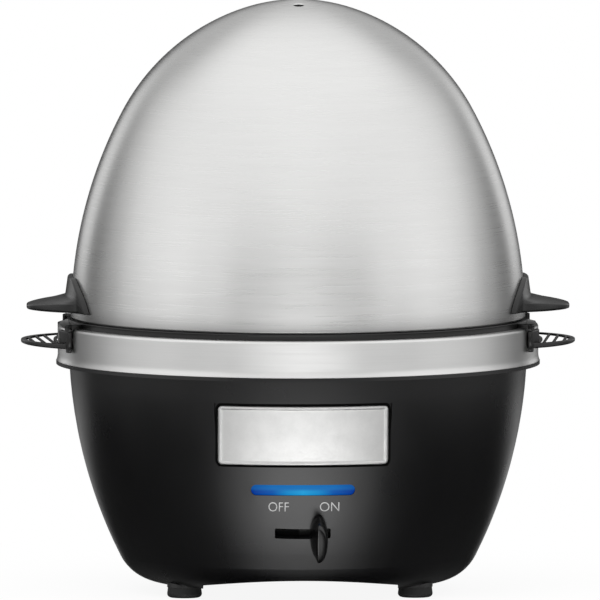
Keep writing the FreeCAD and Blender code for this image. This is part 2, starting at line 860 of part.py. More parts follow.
def terminal_places():
    """Where the heater's two terminal pins stand, just inside the open ends of its ring."""
    half_gap = (TURN - size.element_angle) / 2 + size.terminal_inset_angle
    angles = [HALF_TURN + half_gap * side for side in (-1, 1)]
    return [(element_circle * cosine(angle), element_circle * sine(angle)) for angle in angles]


def dish_gasket():
    """The silicone seal between the collar and the dish's flange."""
    body = new_body("dish_gasket")
    half_width = size.collar_wall / 2 - size.gasket_inset
    half_height = size.gasket_thickness / 2
    section = new_sketch(body, "XZ_Plane")
    revolve(rectangle(section, half_width, half_height, x=(collar_bore_radius + collar_radius) / 2,
                      y=collar_top_level + half_height))
    return body


def heating_element():
    """The sheathed heater: an open ring of tube under the dish with a terminal pin down from each end."""
    level = dish_under_level - size.element_gap - size.element_radius
    body = new_body("heating_element")
    section = new_sketch(body, "XZ_Plane")
    hole(section, size.element_radius, element_circle, level)
    revolve(section, size.element_angle)
    for x, y in terminal_places():
        pin = new_sketch(body, away=level)
        hole(pin, size.terminal_radius, x, y)
        extrude(pin, size.terminal_length, backwards=True)
    return body


def element_clamp_plate():
    """The pressed plate that holds the heater against the dish."""
    body = new_body("element_clamp_plate")
    plate = new_sketch(body, away=clamp_level)
    hole(plate, size.clamp_radius)
    hole(plate, size.clamp_hole_radius)
    extrude(plate, size.clamp_thickness)
    passage = new_sketch(body, away=clamp_level)
    hole(passage, size.stud_radius + size.stud_clearance, *stud_place(0))
    repeat(cut(passage, size.clamp_thickness), size.stud_count)
    gaps = new_sketch(body, away=clamp_level)
    for x, y in terminal_places():
        hole(gaps, size.terminal_radius + size.terminal_clearance, x, y)
    cut(gaps, size.clamp_thickness)
    return body


def stud_hardware(label, level, height, outside, sides=None):
    """Nuts, or round spacers where no number of sides is given, one on each stud."""
    members = []
    for step in range(int(size.stud_count.value)):
        body = new_body(f"{label}_{step + 1}")
        section = new_sketch(body)
        if sides is None:
            hole(section, outside)
        else:
            outline(section, [polar(outside, side, as_size(sides)) for side in range(sides)])
        hole(section, size.stud_radius + size.screw_clearance)
        extrude(section, height)
        x, y = stud_place(step)
        place(body, x, y, level)
        members.append(body)
    return group(label, members)


def heat_shield():
    """The shallow steel pan between the heater and the wiring."""
    body = new_body("heat_shield")
    top = spacer_level + size.shield_edge_height
    revolve(outline(new_sketch(body, "XZ_Plane"), [
        (ZERO, shield_level),
        (size.shield_radius, shield_level),
        (size.shield_radius, top),
        (size.shield_radius - size.shield_wall, top),
        (size.shield_radius - size.shield_wall, spacer_level),
        (ZERO, spacer_level),
    ]))
    passage = new_sketch(body, away=shield_level)
    hole(passage, size.stud_radius + size.stud_clearance, *stud_place(0))
    repeat(cut(passage, size.shield_wall), size.stud_count)
    gaps = new_sketch(body, away=shield_level)
    for x, y in terminal_places():
        hole(gaps, size.terminal_radius + size.terminal_air_gap, x, y)
    cut(gaps, size.shield_wall)
    return body


def thermostat():
    """The round cut-out pressed against the middle of the dish."""
    body = new_body("thermostat")
    bottom = dish_under_level - size.thermostat_height
    flange_level = dish_under_level - size.thermostat_flange_height
    revolve(outline(new_sketch(body, "XZ_Plane"), [
        (ZERO, bottom),
        (size.thermostat_radius, bottom),
        (size.thermostat_radius, flange_level),
        (size.thermostat_flange_radius, flange_level),
        (size.thermostat_flange_radius, dish_under_level),
        (ZERO, dish_under_level),
    ]))
    return body


def thermostat_strap():
    """The spring strap that presses the thermostat up, its feet under the clamp plate."""
    body = new_body("thermostat_strap")
    under = dish_under_level - size.thermostat_height
    thick = size.strap_thickness
    span = size.strap_half_span
    reach = span + size.strap_foot_length
    corners = [
        (-reach, clamp_level - thick), (-span, clamp_level - thick), (-span, under - thick),
        (span, under - thick), (span, clamp_level - thick), (reach, clamp_level - thick),
        (reach, clamp_level), (span - thick, clamp_level), (span - thick, under),
        (-span + thick, under), (-span + thick, clamp_level), (-reach, clamp_level),
    ]
    extrude(outline(new_sketch(body, "XZ_Plane"), corners), size.strap_width, both_ways=True)
    return body


def thermal_fuse():
    """The small one-shot fuse lying under the clamp plate."""
    body = new_body("thermal_fuse")
    section = new_sketch(body, "XZ_Plane")
    hole(section, size.fuse_radius, size.fuse_x, clamp_level - size.fuse_radius)
    extrude(section, size.fuse_length, both_ways=True)
    return body


def fuse_clip():
    """The sheet clip that wraps the thermal fuse, with a foot on each side."""
    body = new_body("fuse_clip")
    inner = size.fuse_radius + size.element_gap
    outer = inner + size.fuse_clip_wall
    level = clamp_level - size.fuse_radius
    foot_end = outer + size.fuse_clip_foot
    foot_low = clamp_level - size.fuse_clip_wall
    x = size.fuse_x
    extrude(outline(new_sketch(body, "XZ_Plane"), [
        (x - foot_end, foot_low), (x - outer, foot_low), (x - outer, level),
        (x, level - outer, outer), (x + outer, level, outer),
        (x + outer, foot_low), (x + foot_end, foot_low), (x + foot_end, clamp_level),
        (x + inner, clamp_level), (x + inner, level), (x, level - inner, -inner),
        (x - inner, level, -inner), (x - inner, clamp_level), (x - foot_end, clamp_level),
    ]), size.fuse_clip_width, both_ways=True)
    return body


# Front panel

def control_board():
    """The circuit board behind the front wall, on two bosses."""
    body = new_body("control_board")
    panel = new_sketch(body, "XZ_Plane", away=-board_y)
    rectangle(panel, size.board_half_width, size.board_height / 2,
              y=board_bottom_level + size.board_height / 2)
    for side in (-1, 1):
        hole(panel, size.screw_radius + size.board_screw_clearance, size.board_boss_x * side,
             board_boss_level)
    extrude(panel, size.board_thickness)
    return body


def board_screws():
    screws = []
    for side in (-1, 1):
        piece = screw(f"board_screw_{side + 2}")
        place(piece, size.board_boss_x * side, board_y, board_boss_level,
              axis=Vector(1, 0, 0), angle=QUARTER_TURN)
        screws.append(piece)
    return group("board_screws", screws)


def indicator_lamps():
    """Blue lamps on the front of the board, behind the light bar."""
    lamps = []
    for step in range(int(size.lamp_count.value)):
        body = new_body(f"indicator_lamp_{step + 1}")
        revolve(outline(new_sketch(body, "XZ_Plane"), [
            (ZERO, ZERO),
            (size.lamp_radius, ZERO),
            (size.lamp_radius, lamp_length - size.lamp_radius),
            (ZERO, lamp_length, size.lamp_radius),
        ]))
        across = size.lamp_spacing * (as_size(step) - (size.lamp_count - 1) / 2)
        place(body, across, board_y - size.board_thickness, light_level,
              axis=Vector(1, 0, 0), angle=QUARTER_TURN)
        lamps.append(body)
    return group("indicator_lamps", lamps)


def sounder():
    """The round sounder on the back of the board."""
    body = new_body("sounder")
    section = new_sketch(body, "XZ_Plane", away=-board_y - size.sounder_height)
    hole(section, size.sounder_radius, size.sounder_x, sounder_level)
    extrude(section, size.sounder_height)
    mouth = new_sketch(body, "XZ_Plane", away=-board_y - size.sounder_height)
    hole(mouth, size.sounder_mouth_radius, size.sounder_x, sounder_level)
    cut(mouth, size.sounder_height / 2)
    return body


def terminal_block():
    """The block on the back of the board where the mains wires end."""
    body = new_body("terminal_block")
    section = new_sketch(body, "XZ_Plane", away=-board_y - size.terminals_depth)
    rectangle(section, size.terminals_width / 2, size.terminals_height / 2, x=size.terminals_x,
              y=terminals_level)
    extrude(section, size.terminals_depth)
    ways = new_sketch(body, "XZ_Plane", away=-board_y - size.terminals_depth)
    for step in (-1, 0, 1):
        hole(ways, size.terminals_way_radius, size.terminals_x + size.terminals_width / 3 * step,
             terminals_level)
    cut(ways, size.terminals_way_depth)
    return body


def front_inlay(label, level, half_width, half_height, corner, inset, proud):
    """A plate that follows the housing's flank: a turned band trimmed to a rounded rectangle."""
    body = new_body(label)
    low, high = level - half_height - size.overrun, level + half_height + size.overrun
    band = new_sketch(body, "YZ_Plane")
    outline(band, [
        (-flank_at(low, inset), low),
        (-flank_at(high, inset), high, -(size.flank_radius - inset)),
        (-flank_at(high, -proud), high),
        (-flank_at(low, -proud), low, size.flank_radius + proud),
    ])
    revolve(band, QUARTER_TURN)
    trim = new_sketch(body, "XZ_Plane")
    rectangle(trim, lip_radius, lip_radius, y=level)
    rectangle(trim, half_width, half_height, y=level, corner=corner)
    cut(trim)
    return body


def light_lens():
    """The clear blue bar above the switch."""
    return front_inlay("light_lens", light_level, size.light_width / 2, size.light_height / 2,
                       size.light_height / 2 - size.light_clearance / 2, size.light_depth, size.light_proud)


def badge_plate():
    """The bare metal plate in its seat on the front."""
    return front_inlay("badge_plate", badge_level, size.badge_width / 2, size.badge_height / 2,
                       size.badge_corner, size.badge_recess - size.badge_bond, size.badge_proud)


# Slide switch

def switch_knob():
    """The upright finger fin, pointed above and below, on a neck that passes through the slot."""
    body = new_body("switch_knob")
    half_width = size.knob_width / 2
    half_height = size.knob_height / 2
    side_radius = arc_through(half_height, half_width)
    fin = new_sketch(body, away=size.knob_gap)
    outline(fin, [(ZERO, -half_height, side_radius), (ZERO, half_height, side_radius)])
    extrude(fin, size.knob_depth)
    neck = new_sketch(body, away=-size.slider_depth)
    rectangle(neck, size.knob_neck_width / 2, size.knob_neck_height / 2)
    extrude(neck, size.slider_depth + size.knob_gap * 2)
    on_switch(body, across=size.switch_travel / 2)
    return body


def switch_slider():
    """The plate behind the wall that carries the knob and works the switch through its peg."""
    body = new_body("switch_slider")
    plate = new_sketch(body, away=-size.slider_depth - size.slider_thickness)
    rectangle(plate, size.slider_length / 2, size.slider_height / 2)
    extrude(plate, size.slider_thickness)
    peg = new_sketch(body, away=-size.slider_depth - size.slider_thickness / 2)
    rectangle(peg, size.slider_peg / 2, size.slider_peg / 2)
    extrude(peg, size.slider_peg_length + size.slider_thickness / 2, backwards=True)
    on_switch(body, across=size.switch_travel / 2)
    return body


def switch_body():
    """The switch's case with its ears and the track for the peg."""
    body = new_body("switch_body")
    top = switch_ear_depth()
    case = new_sketch(body, away=-top - size.switch_body_depth)
    rectangle(case, switch_body_length / 2, size.switch_body_height / 2)
    extrude(case, size.switch_body_depth)
    ears = new_sketch(body, away=-top - size.switch_ear_thickness)
    ear_reach = switch_ear_x + size.boss_radius
    rectangle(ears, ear_reach, size.boss_radius, corner=size.boss_radius / 2)
    extrude(ears, size.switch_ear_thickness)
    fixings = new_sketch(body, away=-top - size.switch_ear_thickness)
    for side in (-1, 1):
        hole(fixings, size.screw_radius + size.screw_clearance, switch_ear_x * side)
    cut(fixings, size.switch_ear_thickness)
    track = new_sketch(body, away=-top)
    track_length = (size.switch_travel + size.slider_peg) / 2 + size.slider_gap
    rectangle(track, track_length, size.slider_peg / 2 + size.slider_gap)
    cut(track, size.slider_peg_length, backwards=True)
    on_switch(body)
    return body


def switch_screws():
    screws = []
    seat = -switch_ear_depth() - size.switch_ear_thickness
    for side in (-1, 1):
        piece = screw(f"switch_screw_{side + 2}", length=size.switch_screw_length)
        on_switch(piece, across=switch_ear_x * side, depth=seat)
        screws.append(piece)
    return group("switch_screws", screws)


def cord_gland():
    """The moulded gland in the back wall, with the bore that the cord passes through."""
    body = new_body("cord_gland")
    start = gland_boss_y - size.gland_boss_length - size.gland_flange_thickness
    inner_face = gland_boss_y - size.gland_boss_length
    outer_face = gland_boss_y + size.gland_flange_thickness
    tip = outer_face + size.gland_snout_length
    revolve(outline(new_sketch(body, "XZ_Plane"), [
        (size.gland_bore_radius, start),
        (size.gland_flange_radius, start),
        (size.gland_flange_radius, inner_face),
        (size.gland_neck_radius, inner_face),
        (size.gland_neck_radius, gland_boss_y),
        (size.gland_flange_radius, gland_boss_y),
        (size.gland_flange_radius, outer_face),
        (size.gland_neck_radius, outer_face),
        (size.gland_tip_radius, tip),
        (size.gland_bore_radius, tip),
    ]))
    place(body, z=gland_level, axis=Vector(1, 0, 0), angle=-QUARTER_TURN)
    return body


# Egg trays

def egg_tray():
    """The lower tray: a dished deck with egg holes, a flange on the trim ring and a lip inside the lid."""
    body = new_body("egg_tray")
    outer = dish_radius - size.tray_clearance
    lip_outer = dome_radius - size.dome_wall * 2 - size.collar_clearance
    revolve(outline(new_sketch(body, "XZ_Plane"), [
        (ZERO, tray_floor_level),
        (outer, tray_floor_level),
        (outer, ring_top_level),
        (tray_flange_radius, ring_top_level),
        (tray_flange_radius, tray_top_level),
        (lip_outer, tray_top_level),
        (lip_outer, tray_top_level + size.tray_lip_height),
        (lip_outer - size.tray_lip_thickness, tray_top_level + size.tray_lip_height),
        (outer - size.tray_wall, tray_top_level),
        (outer - size.tray_wall, tray_deck_level),
        (ZERO, tray_deck_level),
    ]))
    centre = new_sketch(body, away=tray_floor_level)
    hole(centre, size.egg_hole_radius)
    cut(centre, size.tray_wall)
    egg = new_sketch(body, away=tray_floor_level)
    hole(egg, size.egg_hole_radius, egg_circle)
    repeat(cut(egg, size.tray_wall), size.egg_count)
    socket = new_sketch(body, away=tray_floor_level)
    hole(socket, size.leg_spigot_radius + size.leg_socket_clearance, *leg_place(0))
    repeat(cut(socket, size.tray_wall), size.upper_egg_count)
    steam = new_sketch(body, away=tray_floor_level)
    hole(steam, size.steam_hole_radius, *leg_place(0, between=True))
    repeat(cut(steam, size.tray_wall), size.upper_egg_count)
    return body


def leg_place(step, between=False):
    """Where a leg of the upper tray stands on the lower one, or the steam hole opposite."""
    start = egg_step_angle / 2
    return polar(leg_circle, step, size.upper_egg_count, start + egg_step_angle if between else start)


def tray_handle(label, side):
    """Two arms over the trim ring and a flat, slotted blade, on the +X side or turned to the -X side."""
    body = new_body(label)
    inside = ring_radius + size.hook_clearance
    outside = inside + size.hook_thickness
    bottom = tray_top_level - size.hook_drop
    start = tray_flange_radius + size.hook_fit
    revolve(outline(new_sketch(body, "XZ_Plane"), [
        (start, ring_top_level),
        (inside, ring_top_level),
        (inside, bottom),
        (outside, bottom),
        (outside, tray_top_level),
        (start, tray_top_level),
    ]), size.hook_angle)

    # Window that parts the hook into a front arm and a back arm
    window = new_sketch(body, away=bottom - size.overrun)
    rectangle(window, size.overrun * 2, size.hook_window_half_width, x=inside)
    cut(window)

    # Between the lugs at their ends the arms stop short of the ring's top edge
    gap = new_sketch(body, away=tray_top_level - size.hook_wall_drop)
    rectangle(gap, size.overrun * 2, size.hook_lug_half_gap, x=inside)
    cut(gap)

    # Blade: part of a disc outside the hook
    blade_level = bottom + size.blade_rise
    centre_x = blade_tip_radius - size.blade_plan_radius
    blade_root = inside + size.hook_thickness / 2
    chord_x = (blade_root * blade_root - size.blade_plan_radius * size.blade_plan_radius
               + centre_x * centre_x) / (centre_x * 2)
    chord_y = other_leg(blade_root, chord_x)
    blade = new_sketch(body, away=blade_level)
    outline(blade, [
        (chord_x, -chord_y, -blade_root),
        (blade_tip_radius, ZERO, size.blade_plan_radius),
        (chord_x, chord_y, size.blade_plan_radius),
    ])
    extrude(blade, size.blade_thickness)

    # Slanted slots through the blade, shorter towards its tip
    slots = new_sketch(body, away=blade_level)
    slant = size.blade_slot_slant * side
    slot_pitch = size.blade_slot_width + size.blade_slot_web
    first_slot = outside + size.blade_slot_width
    slot_room = blade_tip_radius - size.blade_rim - first_slot
    for step in range(math.ceil(slot_room.value / slot_pitch.value)):
        x = first_slot + slot_pitch * step
        half_length = other_leg(size.blade_plan_radius - size.blade_rim, x - centre_x)
        long_x, long_y = half_length * sine(slant), half_length * cosine(slant)
        wide_x = size.blade_slot_width / 2 * cosine(slant)
        wide_y = size.blade_slot_width / 2 * sine(slant)
        outline(slots, [
            (x - long_x - wide_x, -long_y + wide_y),
            (x - long_x + wide_x, -long_y - wide_y),
            (x + long_x + wide_x, long_y - wide_y),
            (x + long_x - wide_x, long_y + wide_y),
        ])
    cut(slots, size.blade_thickness)
    place(body, angle=QUARTER_TURN - QUARTER_TURN * side)
    return body


def upper_egg_tray():
    """The upper tray on three legs that stand in the lower one."""
    body = new_body("upper_egg_tray")
    deck_top = upper_tray_level + size.tray_wall
    rim_top = deck_top + size.upper_rim_height
    revolve(outline(new_sketch(body, "XZ_Plane"), [
        (ZERO, upper_tray_level),
        (size.upper_tray_radius, upper_tray_level),
        (size.upper_tray_radius, rim_top),
        (size.upper_tray_radius - size.tray_wall, rim_top),
        (size.upper_tray_radius - size.tray_wall, deck_top),
        (ZERO, deck_top),
    ]))
    finger = new_sketch(body, away=upper_tray_level)
    hole(finger, size.upper_finger_radius)
    cut(finger, size.tray_wall)
    egg = new_sketch(body, away=upper_tray_level)
    hole(egg, size.egg_hole_radius, *polar(upper_egg_circle, 0, size.upper_egg_count, QUARTER_TURN))
    repeat(cut(egg, size.tray_wall), size.upper_egg_count)
    leg = new_sketch(body, away=tray_deck_level)
    hole(leg, size.leg_radius, *leg_place(0))
    repeat(extrude(leg, upper_tray_level + size.tray_wall / 2 - tray_deck_level), size.upper_egg_count)
    spigot = new_sketch(body, away=tray_deck_level + size.leg_spigot_length / 2)
    hole(spigot, size.leg_spigot_radius, *leg_place(0))
    repeat(extrude(spigot, size.leg_spigot_length, backwards=True), size.upper_egg_count)
    return body


# Lid

dome_flank_centre = dome_radius - size.dome_flank_radius
shoulder_gap = size.dome_flank_radius - size.dome_shoulder_radius
shoulder_centre = dome_flank_centre + shoulder_gap * cosine(size.dome_flank_angle)
shoulder_level = tray_top_level + shoulder_gap * sine(size.dome_flank_angle)
crown_radius = size.dome_shoulder_radius + shoulder_centre / cosine(size.dome_shoulder_angle)
crown_gap = size.dome_shoulder_radius - crown_radius
crown_level = shoulder_level + crown_gap * sine(size.dome_shoulder_angle)


def dome_joins(inset):
    """The points where the dome's three arcs meet, on its outside or on a face set in from it."""
    flank = size.dome_flank_radius - inset
    shoulder = size.dome_shoulder_radius - inset
    low = (dome_flank_centre + flank * cosine(size.dome_flank_angle),
           tray_top_level + flank * sine(size.dome_flank_angle))
    high = (shoulder_centre + shoulder * cosine(size.dome_shoulder_angle),
            shoulder_level + shoulder * sine(size.dome_shoulder_angle))
    return low, high


def dome_at(level, inset=ZERO):
    """The dome's radius at a level on its lowest arc."""
    return dome_flank_centre + other_leg(size.dome_flank_radius - inset, level - tray_top_level)


def lid_dome():
    """The egg-shaped steel shell with a hem round its mouth and a vent near its top."""
    body = new_body("lid_dome")
    wall = size.dome_wall
    low, high = dome_joins(ZERO)
    inner_low, inner_high = dome_joins(wall)
    hem_top = tray_top_level + size.dome_hem_height
    revolve(outline(new_sketch(body, "XZ_Plane"), [
        (dome_radius - wall * 2, tray_top_level),
        (dome_radius, tray_top_level),
        (low[0], low[1], size.dome_flank_radius),
        (high[0], high[1], size.dome_shoulder_radius),
        (ZERO, crown_level + crown_radius, crown_radius),
        (ZERO, crown_level + crown_radius - wall),
        (inner_high[0], inner_high[1], -(crown_radius - wall)),
        (inner_low[0], inner_low[1], -(size.dome_shoulder_radius - wall)),
        (dome_at(hem_top, wall), hem_top, -(size.dome_flank_radius - wall)),
        (dome_radius - wall * 2, hem_top),
    ]))
    vent = new_sketch(body, away=crown_level)
    hole(vent, size.vent_radius, y=-size.vent_offset)
    cut(vent, crown_radius + size.overrun)
    screw_holes = new_sketch(body, "YZ_Plane")
    for side in (-1, 1):
        hole(screw_holes, size.grip_screw_radius + size.screw_clearance, size.grip_screw_y * side,
             grip_screw_level())
    cut(screw_holes, both_ways=True)
    return body


def grip_level():
    return tray_top_level + size.grip_rise


def grip_screw_level():
    return grip_level() + size.grip_screw_rise


def lid_handle(label, side):
    """A blade with a shield that hugs the dome, on the +X side or turned to the -X side."""
    body = new_body(label)
    bottom = grip_level()
    shield_top = bottom + size.grip_shield_height
    root_x = dome_at(shield_top) - size.overrun
    tip_x = grip_tip_radius - size.grip_tip_thickness / 2

    # Blade: a long wedge in side view, trimmed to a disc in plan
    blade = new_sketch(body, "XZ_Plane")
    outline(blade, [
        (root_x, bottom),
        (tip_x, bottom + size.grip_gap),
        (tip_x, bottom + size.grip_tip_thickness, size.grip_tip_thickness / 2),
        (root_x, bottom + size.grip_root_thickness, size.grip_top_round),
    ])
    extrude(blade, size.grip_plan_radius * 2, both_ways=True)
    trim = new_sketch(body, away=bottom - size.overrun)
    centre_x = grip_tip_radius - size.grip_plan_radius
    rectangle(trim, size.grip_plan_radius * 2, size.grip_plan_radius * 2, x=centre_x)
    hole(trim, size.grip_plan_radius, centre_x)
    cut(trim)

    # Shield: a turned skin over the dome, trimmed to a low arch
    skin = size.grip_gap + size.grip_shield_thickness
    shield = new_sketch(body, "XZ_Plane")
    outline(shield, [
        (dome_at(bottom), bottom),
        (dome_at(bottom, -skin), bottom),
        (dome_at(shield_top, -skin), shield_top, size.dome_flank_radius + skin),
        (dome_at(shield_top), shield_top),
    ])
    revolve(shield, angle_with_sine(size.grip_shield_half_width / dome_radius) * 2)
    shoulder_run = size.grip_shield_half_width - size.grip_shield_crest
    shoulder_round = arc_through(shoulder_run, size.grip_shield_height)
    arch = new_sketch(body, "YZ_Plane")
    far = size.grip_shield_half_width + size.overrun
    above = shield_top + size.overrun
    outline(arch, [
        (size.grip_shield_half_width, bottom, -shoulder_round),
        (far, bottom),
        (far, above),
        (-far, above),
        (-far, bottom),
        (-size.grip_shield_half_width, bottom),
        (-size.grip_shield_crest, shield_top, -shoulder_round),
        (size.grip_shield_crest, shield_top),
    ])
    cut(arch)

    # Hollow that clears the dome
    hollow = new_sketch(body, "XZ_Plane")
    low = bottom - size.overrun
    outline(hollow, [
        (ZERO, low),
        (dome_at(low, -size.grip_gap), low),
        (dome_at(above, -size.grip_gap), above, size.dome_flank_radius + size.grip_gap),
        (ZERO, above),
    ])
    groove(hollow)

    # Screw holes into the blade's root
    bores = new_sketch(body, "YZ_Plane")
    for end in (-1, 1):
        hole(bores, size.grip_screw_radius + size.screw_clearance / 2, size.grip_screw_y * end,
             grip_screw_level())
    cut(bores, dome_radius + size.grip_screw_length)
    place(body, angle=QUARTER_TURN - QUARTER_TURN * side)
    return body


def lid_handle_screws():
    screws = []
    for side in (-1, 1):
        for end in (-1, 1):
            piece = screw(f"lid_handle_screw_{2 * side + end + 4}", size.grip_screw_radius,
                          size.grip_screw_length, size.grip_screw_head_radius, size.grip_screw_head_height)
            seat = other_leg(dome_at(grip_screw_level() + size.grip_screw_head_radius, size.dome_wall),
                             size.grip_screw_y + size.grip_screw_head_radius)
            place(piece, seat * side, size.grip_screw_y * end, grip_screw_level(),
                  axis=Vector(0, 1, 0), angle=QUARTER_TURN * side)
            screws.append(piece)
    return group("lid_handle_screws", screws)


pieces = [base_housing()]
pieces += [foot(number, x, y) for number, (x, y) in enumerate(foot_places(), start=1)]
pieces += [
    bottom_cover(),
    bottom_cover_screws(),
    trim_ring(),
    heating_dish(),
    dish_gasket(),
    heating_element(),
    element_clamp_plate(),
    stud_hardware("clamp_nuts", clamp_level - size.nut_height, size.nut_height, size.nut_radius, sides=6),
    stud_hardware("shield_spacers", spacer_level, size.spacer_length, size.spacer_radius),
    heat_shield(),
    stud_hardware("shield_nuts", shield_level - size.nut_height, size.nut_height, size.nut_radius, sides=6),
    thermostat(),
    thermostat_strap(),
    thermal_fuse(),
    fuse_clip(),
    control_board(),
    board_screws(),
    indicator_lamps(),
    sounder(),
    terminal_block(),
    light_lens(),
    badge_plate(),
    switch_knob(),
    switch_slider(),
    switch_body(),
    switch_screws(),
    cord_gland(),
    egg_tray(),
    tray_handle("tray_handle_right", 1),
    tray_handle("tray_handle_left", -1),
    upper_egg_tray(),
    lid_dome(),
    lid_handle("lid_handle_right", 1),
    lid_handle("lid_handle_left", -1),
    lid_handle_screws(),
]
doc.recompute()

for thing in doc.Objects:
    if {"Invalid", "Error"} & set(thing.State):
        raise RuntimeError(f"{thing.Label} did not rebuild")
for piece in pieces:
    if piece.Shape.isNull() or not piece.Shape.isValid() or not piece.Shape.Solids:
        raise RuntimeError(f"{piece.Label} has no valid solid")

os.makedirs("parts", exist_ok=True)
for piece in pieces:
    piece.Shape.exportStep(f"parts/{piece.Label}.step")
    box = piece.Shape.BoundBox
    print(f"{piece.Label}: {len(piece.Shape.Solids)} solid(s), x {box.XMin:.1f} to {box.XMax:.1f}, "
          f"y {box.YMin:.1f} to {box.YMax:.1f}, z {box.ZMin:.1f} to {box.ZMax:.1f}")
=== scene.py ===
import json
import math

import bmesh
import bpy
import numpy as np
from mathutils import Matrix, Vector


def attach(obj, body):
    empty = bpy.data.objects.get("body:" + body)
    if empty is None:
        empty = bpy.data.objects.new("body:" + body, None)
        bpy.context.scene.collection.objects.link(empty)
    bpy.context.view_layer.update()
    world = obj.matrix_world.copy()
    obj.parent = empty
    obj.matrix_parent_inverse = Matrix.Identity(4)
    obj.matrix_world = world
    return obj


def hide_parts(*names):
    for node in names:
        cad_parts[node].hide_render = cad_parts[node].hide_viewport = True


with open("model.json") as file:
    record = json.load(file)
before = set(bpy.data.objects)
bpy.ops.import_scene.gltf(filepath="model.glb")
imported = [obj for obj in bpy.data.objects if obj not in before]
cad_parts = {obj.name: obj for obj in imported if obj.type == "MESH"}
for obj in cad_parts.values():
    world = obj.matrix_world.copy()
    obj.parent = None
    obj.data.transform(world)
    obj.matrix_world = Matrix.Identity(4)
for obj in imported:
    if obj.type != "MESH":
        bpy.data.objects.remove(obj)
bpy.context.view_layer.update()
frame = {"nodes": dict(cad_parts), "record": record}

# Domestic electric egg cooker: black moulded base, brushed steel band and dome, black trays and handles.
# Shapes are written in millimetres and go into the meshes in metres.

MM = 0.001


# Levels, places and sizes that more than one piece or material uses

BAR_LEVEL = 45.4
KNOB_PLACE = 6.2
KNOB_LEVEL = 28.1
WORD_LEVEL = 38.9
BADGE_HALF = (32.6, 11.4)
BADGE_CORNER = 1.6
BADGE_LEVEL = 66.7
BAND_RADIUS = 92.685
DOME_CENTRE = -82.935
DOME_FLANK = 170.5
DOME_MOUTH = 105.6
SHOULDER_CENTRE = (-4.865, 147.285)
SHOULDER = 82.0
SHOULDER_ANGLE = 28.1
CROWN_LEVEL = 161.907
CROWN = 66.59
CROWN_EDGE = 21.02
CAP_EDGE = 24.0
DOME_SHEET = 0.8
DOME_STEPS = 240
VENT_PLACE = -13.0
ARM_INNER = 92.985
ARM_OUTER = 94.585
BLADE_CENTRE = 72.885
BLADE_TOP = 97.7
GRIP_FOOT = 109.2
GRIP_CENTRE = 77.965
GRIP_RADIUS = 27.0
GRIP_TIP = 104.7
GLAND_LEVEL = 30.0


# Surfaces

def add_piece(name, surface, material, body, replaces=()):
    """Put points in millimetres and their faces into a smooth mesh that rides on a body.

    Points that meet at seams and poles are merged, and normals are weighed by the size of the faces, so
    that flats beside small rounds stay flat.
    """
    points, faces = surface
    mesh = bpy.data.meshes.new(name)
    mesh.from_pydata((points * MM).tolist(), [], faces)
    shape = bmesh.new()
    shape.from_mesh(mesh)
    bmesh.ops.remove_doubles(shape, verts=shape.verts, dist=0.002 * MM)
    bmesh.ops.recalc_face_normals(shape, faces=shape.faces)
    shape.to_mesh(mesh)
    shape.free()
    mesh.polygons.foreach_set("use_smooth", np.ones(len(mesh.polygons), bool))
    mesh.materials.append(material)
    mesh.update()
    piece = bpy.data.objects.new(name, mesh)
    bpy.context.scene.collection.objects.link(piece)
    piece.modifiers.new("even_normals", "WEIGHTED_NORMAL")
    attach(piece, body)
    if replaces:
        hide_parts(*replaces)


def skin(rows, ends="loop"):
    """Points and faces of a closed surface through rows of points that each close on themselves.

    The last row goes on to the first as a loop, each end gets a fan of triangles round the mean of its
    row, or each end row lies folded on itself, so that merging its points closes it as a seam.
    """
    count, across = rows.shape[:2]
    row = np.arange(count if ends == "loop" else count - 1)[:, None]
    column = np.arange(across)[None, :]
    after = (column + 1) % across
    above = (row + 1) % count
    quads = np.stack((row * across + column, row * across + after,
                      above * across + after, above * across + column), axis=-1).reshape(-1, 4)
    points = rows.reshape(-1, 3)
    faces = quads.tolist()
    if ends == "fans":
        column, after = column.ravel(), after.ravel()
        low, high = count * across, count * across + 1
        last = (count - 1) * across
        points = np.vstack((points, rows[0].mean(axis=0), rows[-1].mean(axis=0)))
        faces += np.stack((np.full(across, low), after, column), axis=-1).tolist()
        faces += np.stack((np.full(across, high), last + column, last + after), axis=-1).tolist()
    return points, faces


def join(*parts):
    """One set of points and faces from several."""
    points, faces, start = [], [], 0
    for part_points, part_faces in parts:
        points.append(part_points)
        faces += [[start + corner for corner in face] for face in part_faces]
        start += len(part_points)
    return np.vstack(points), faces


def rounded(corners, reach, steps=6):
    """Outlines with their corners rounded, for any number of outlines at once.

    Before each corner C lies A and after it B, both `reach` away or less where a side is short. The
    parabola (1 - t)^2 A + 2 t (1 - t) C + t^2 B joins them, and one more point beyond each end keeps the
    flats beside it flat.
    """
    back = np.roll(corners, 1, axis=-2) - corners
    ahead = np.roll(corners, -1, axis=-2) - corners
    back_length = np.linalg.norm(back, axis=-1)
    ahead_length = np.linalg.norm(ahead, axis=-1)
    take = np.minimum(reach, 0.36 * np.minimum(back_length, ahead_length))[..., None, None]
    back = (back / np.maximum(back_length, 1e-6)[..., None])[..., None, :] * take
    ahead = (ahead / np.maximum(ahead_length, 1e-6)[..., None])[..., None, :] * take
    share = np.linspace(0, 1, steps + 1)[:, None]
    bend = (1 - share) ** 2 * back + share ** 2 * ahead
    bend = np.concatenate((1.35 * back, bend, 1.35 * ahead), axis=-2) + corners[..., None, :]
    return bend.reshape(corners.shape[:-2] + (-1, corners.shape[-1]))


def rings(section, steps):
    """A (radius, height) section turned about the Z axis: (r cos a, r sin a, z) at even angles a."""
    angle = np.arange(steps) * 2 * math.pi / steps
    radius, height = section[:, 0, None], section[:, 1, None]
    return np.stack((radius * np.cos(angle), radius * np.sin(angle), height + 0 * angle), axis=-1)


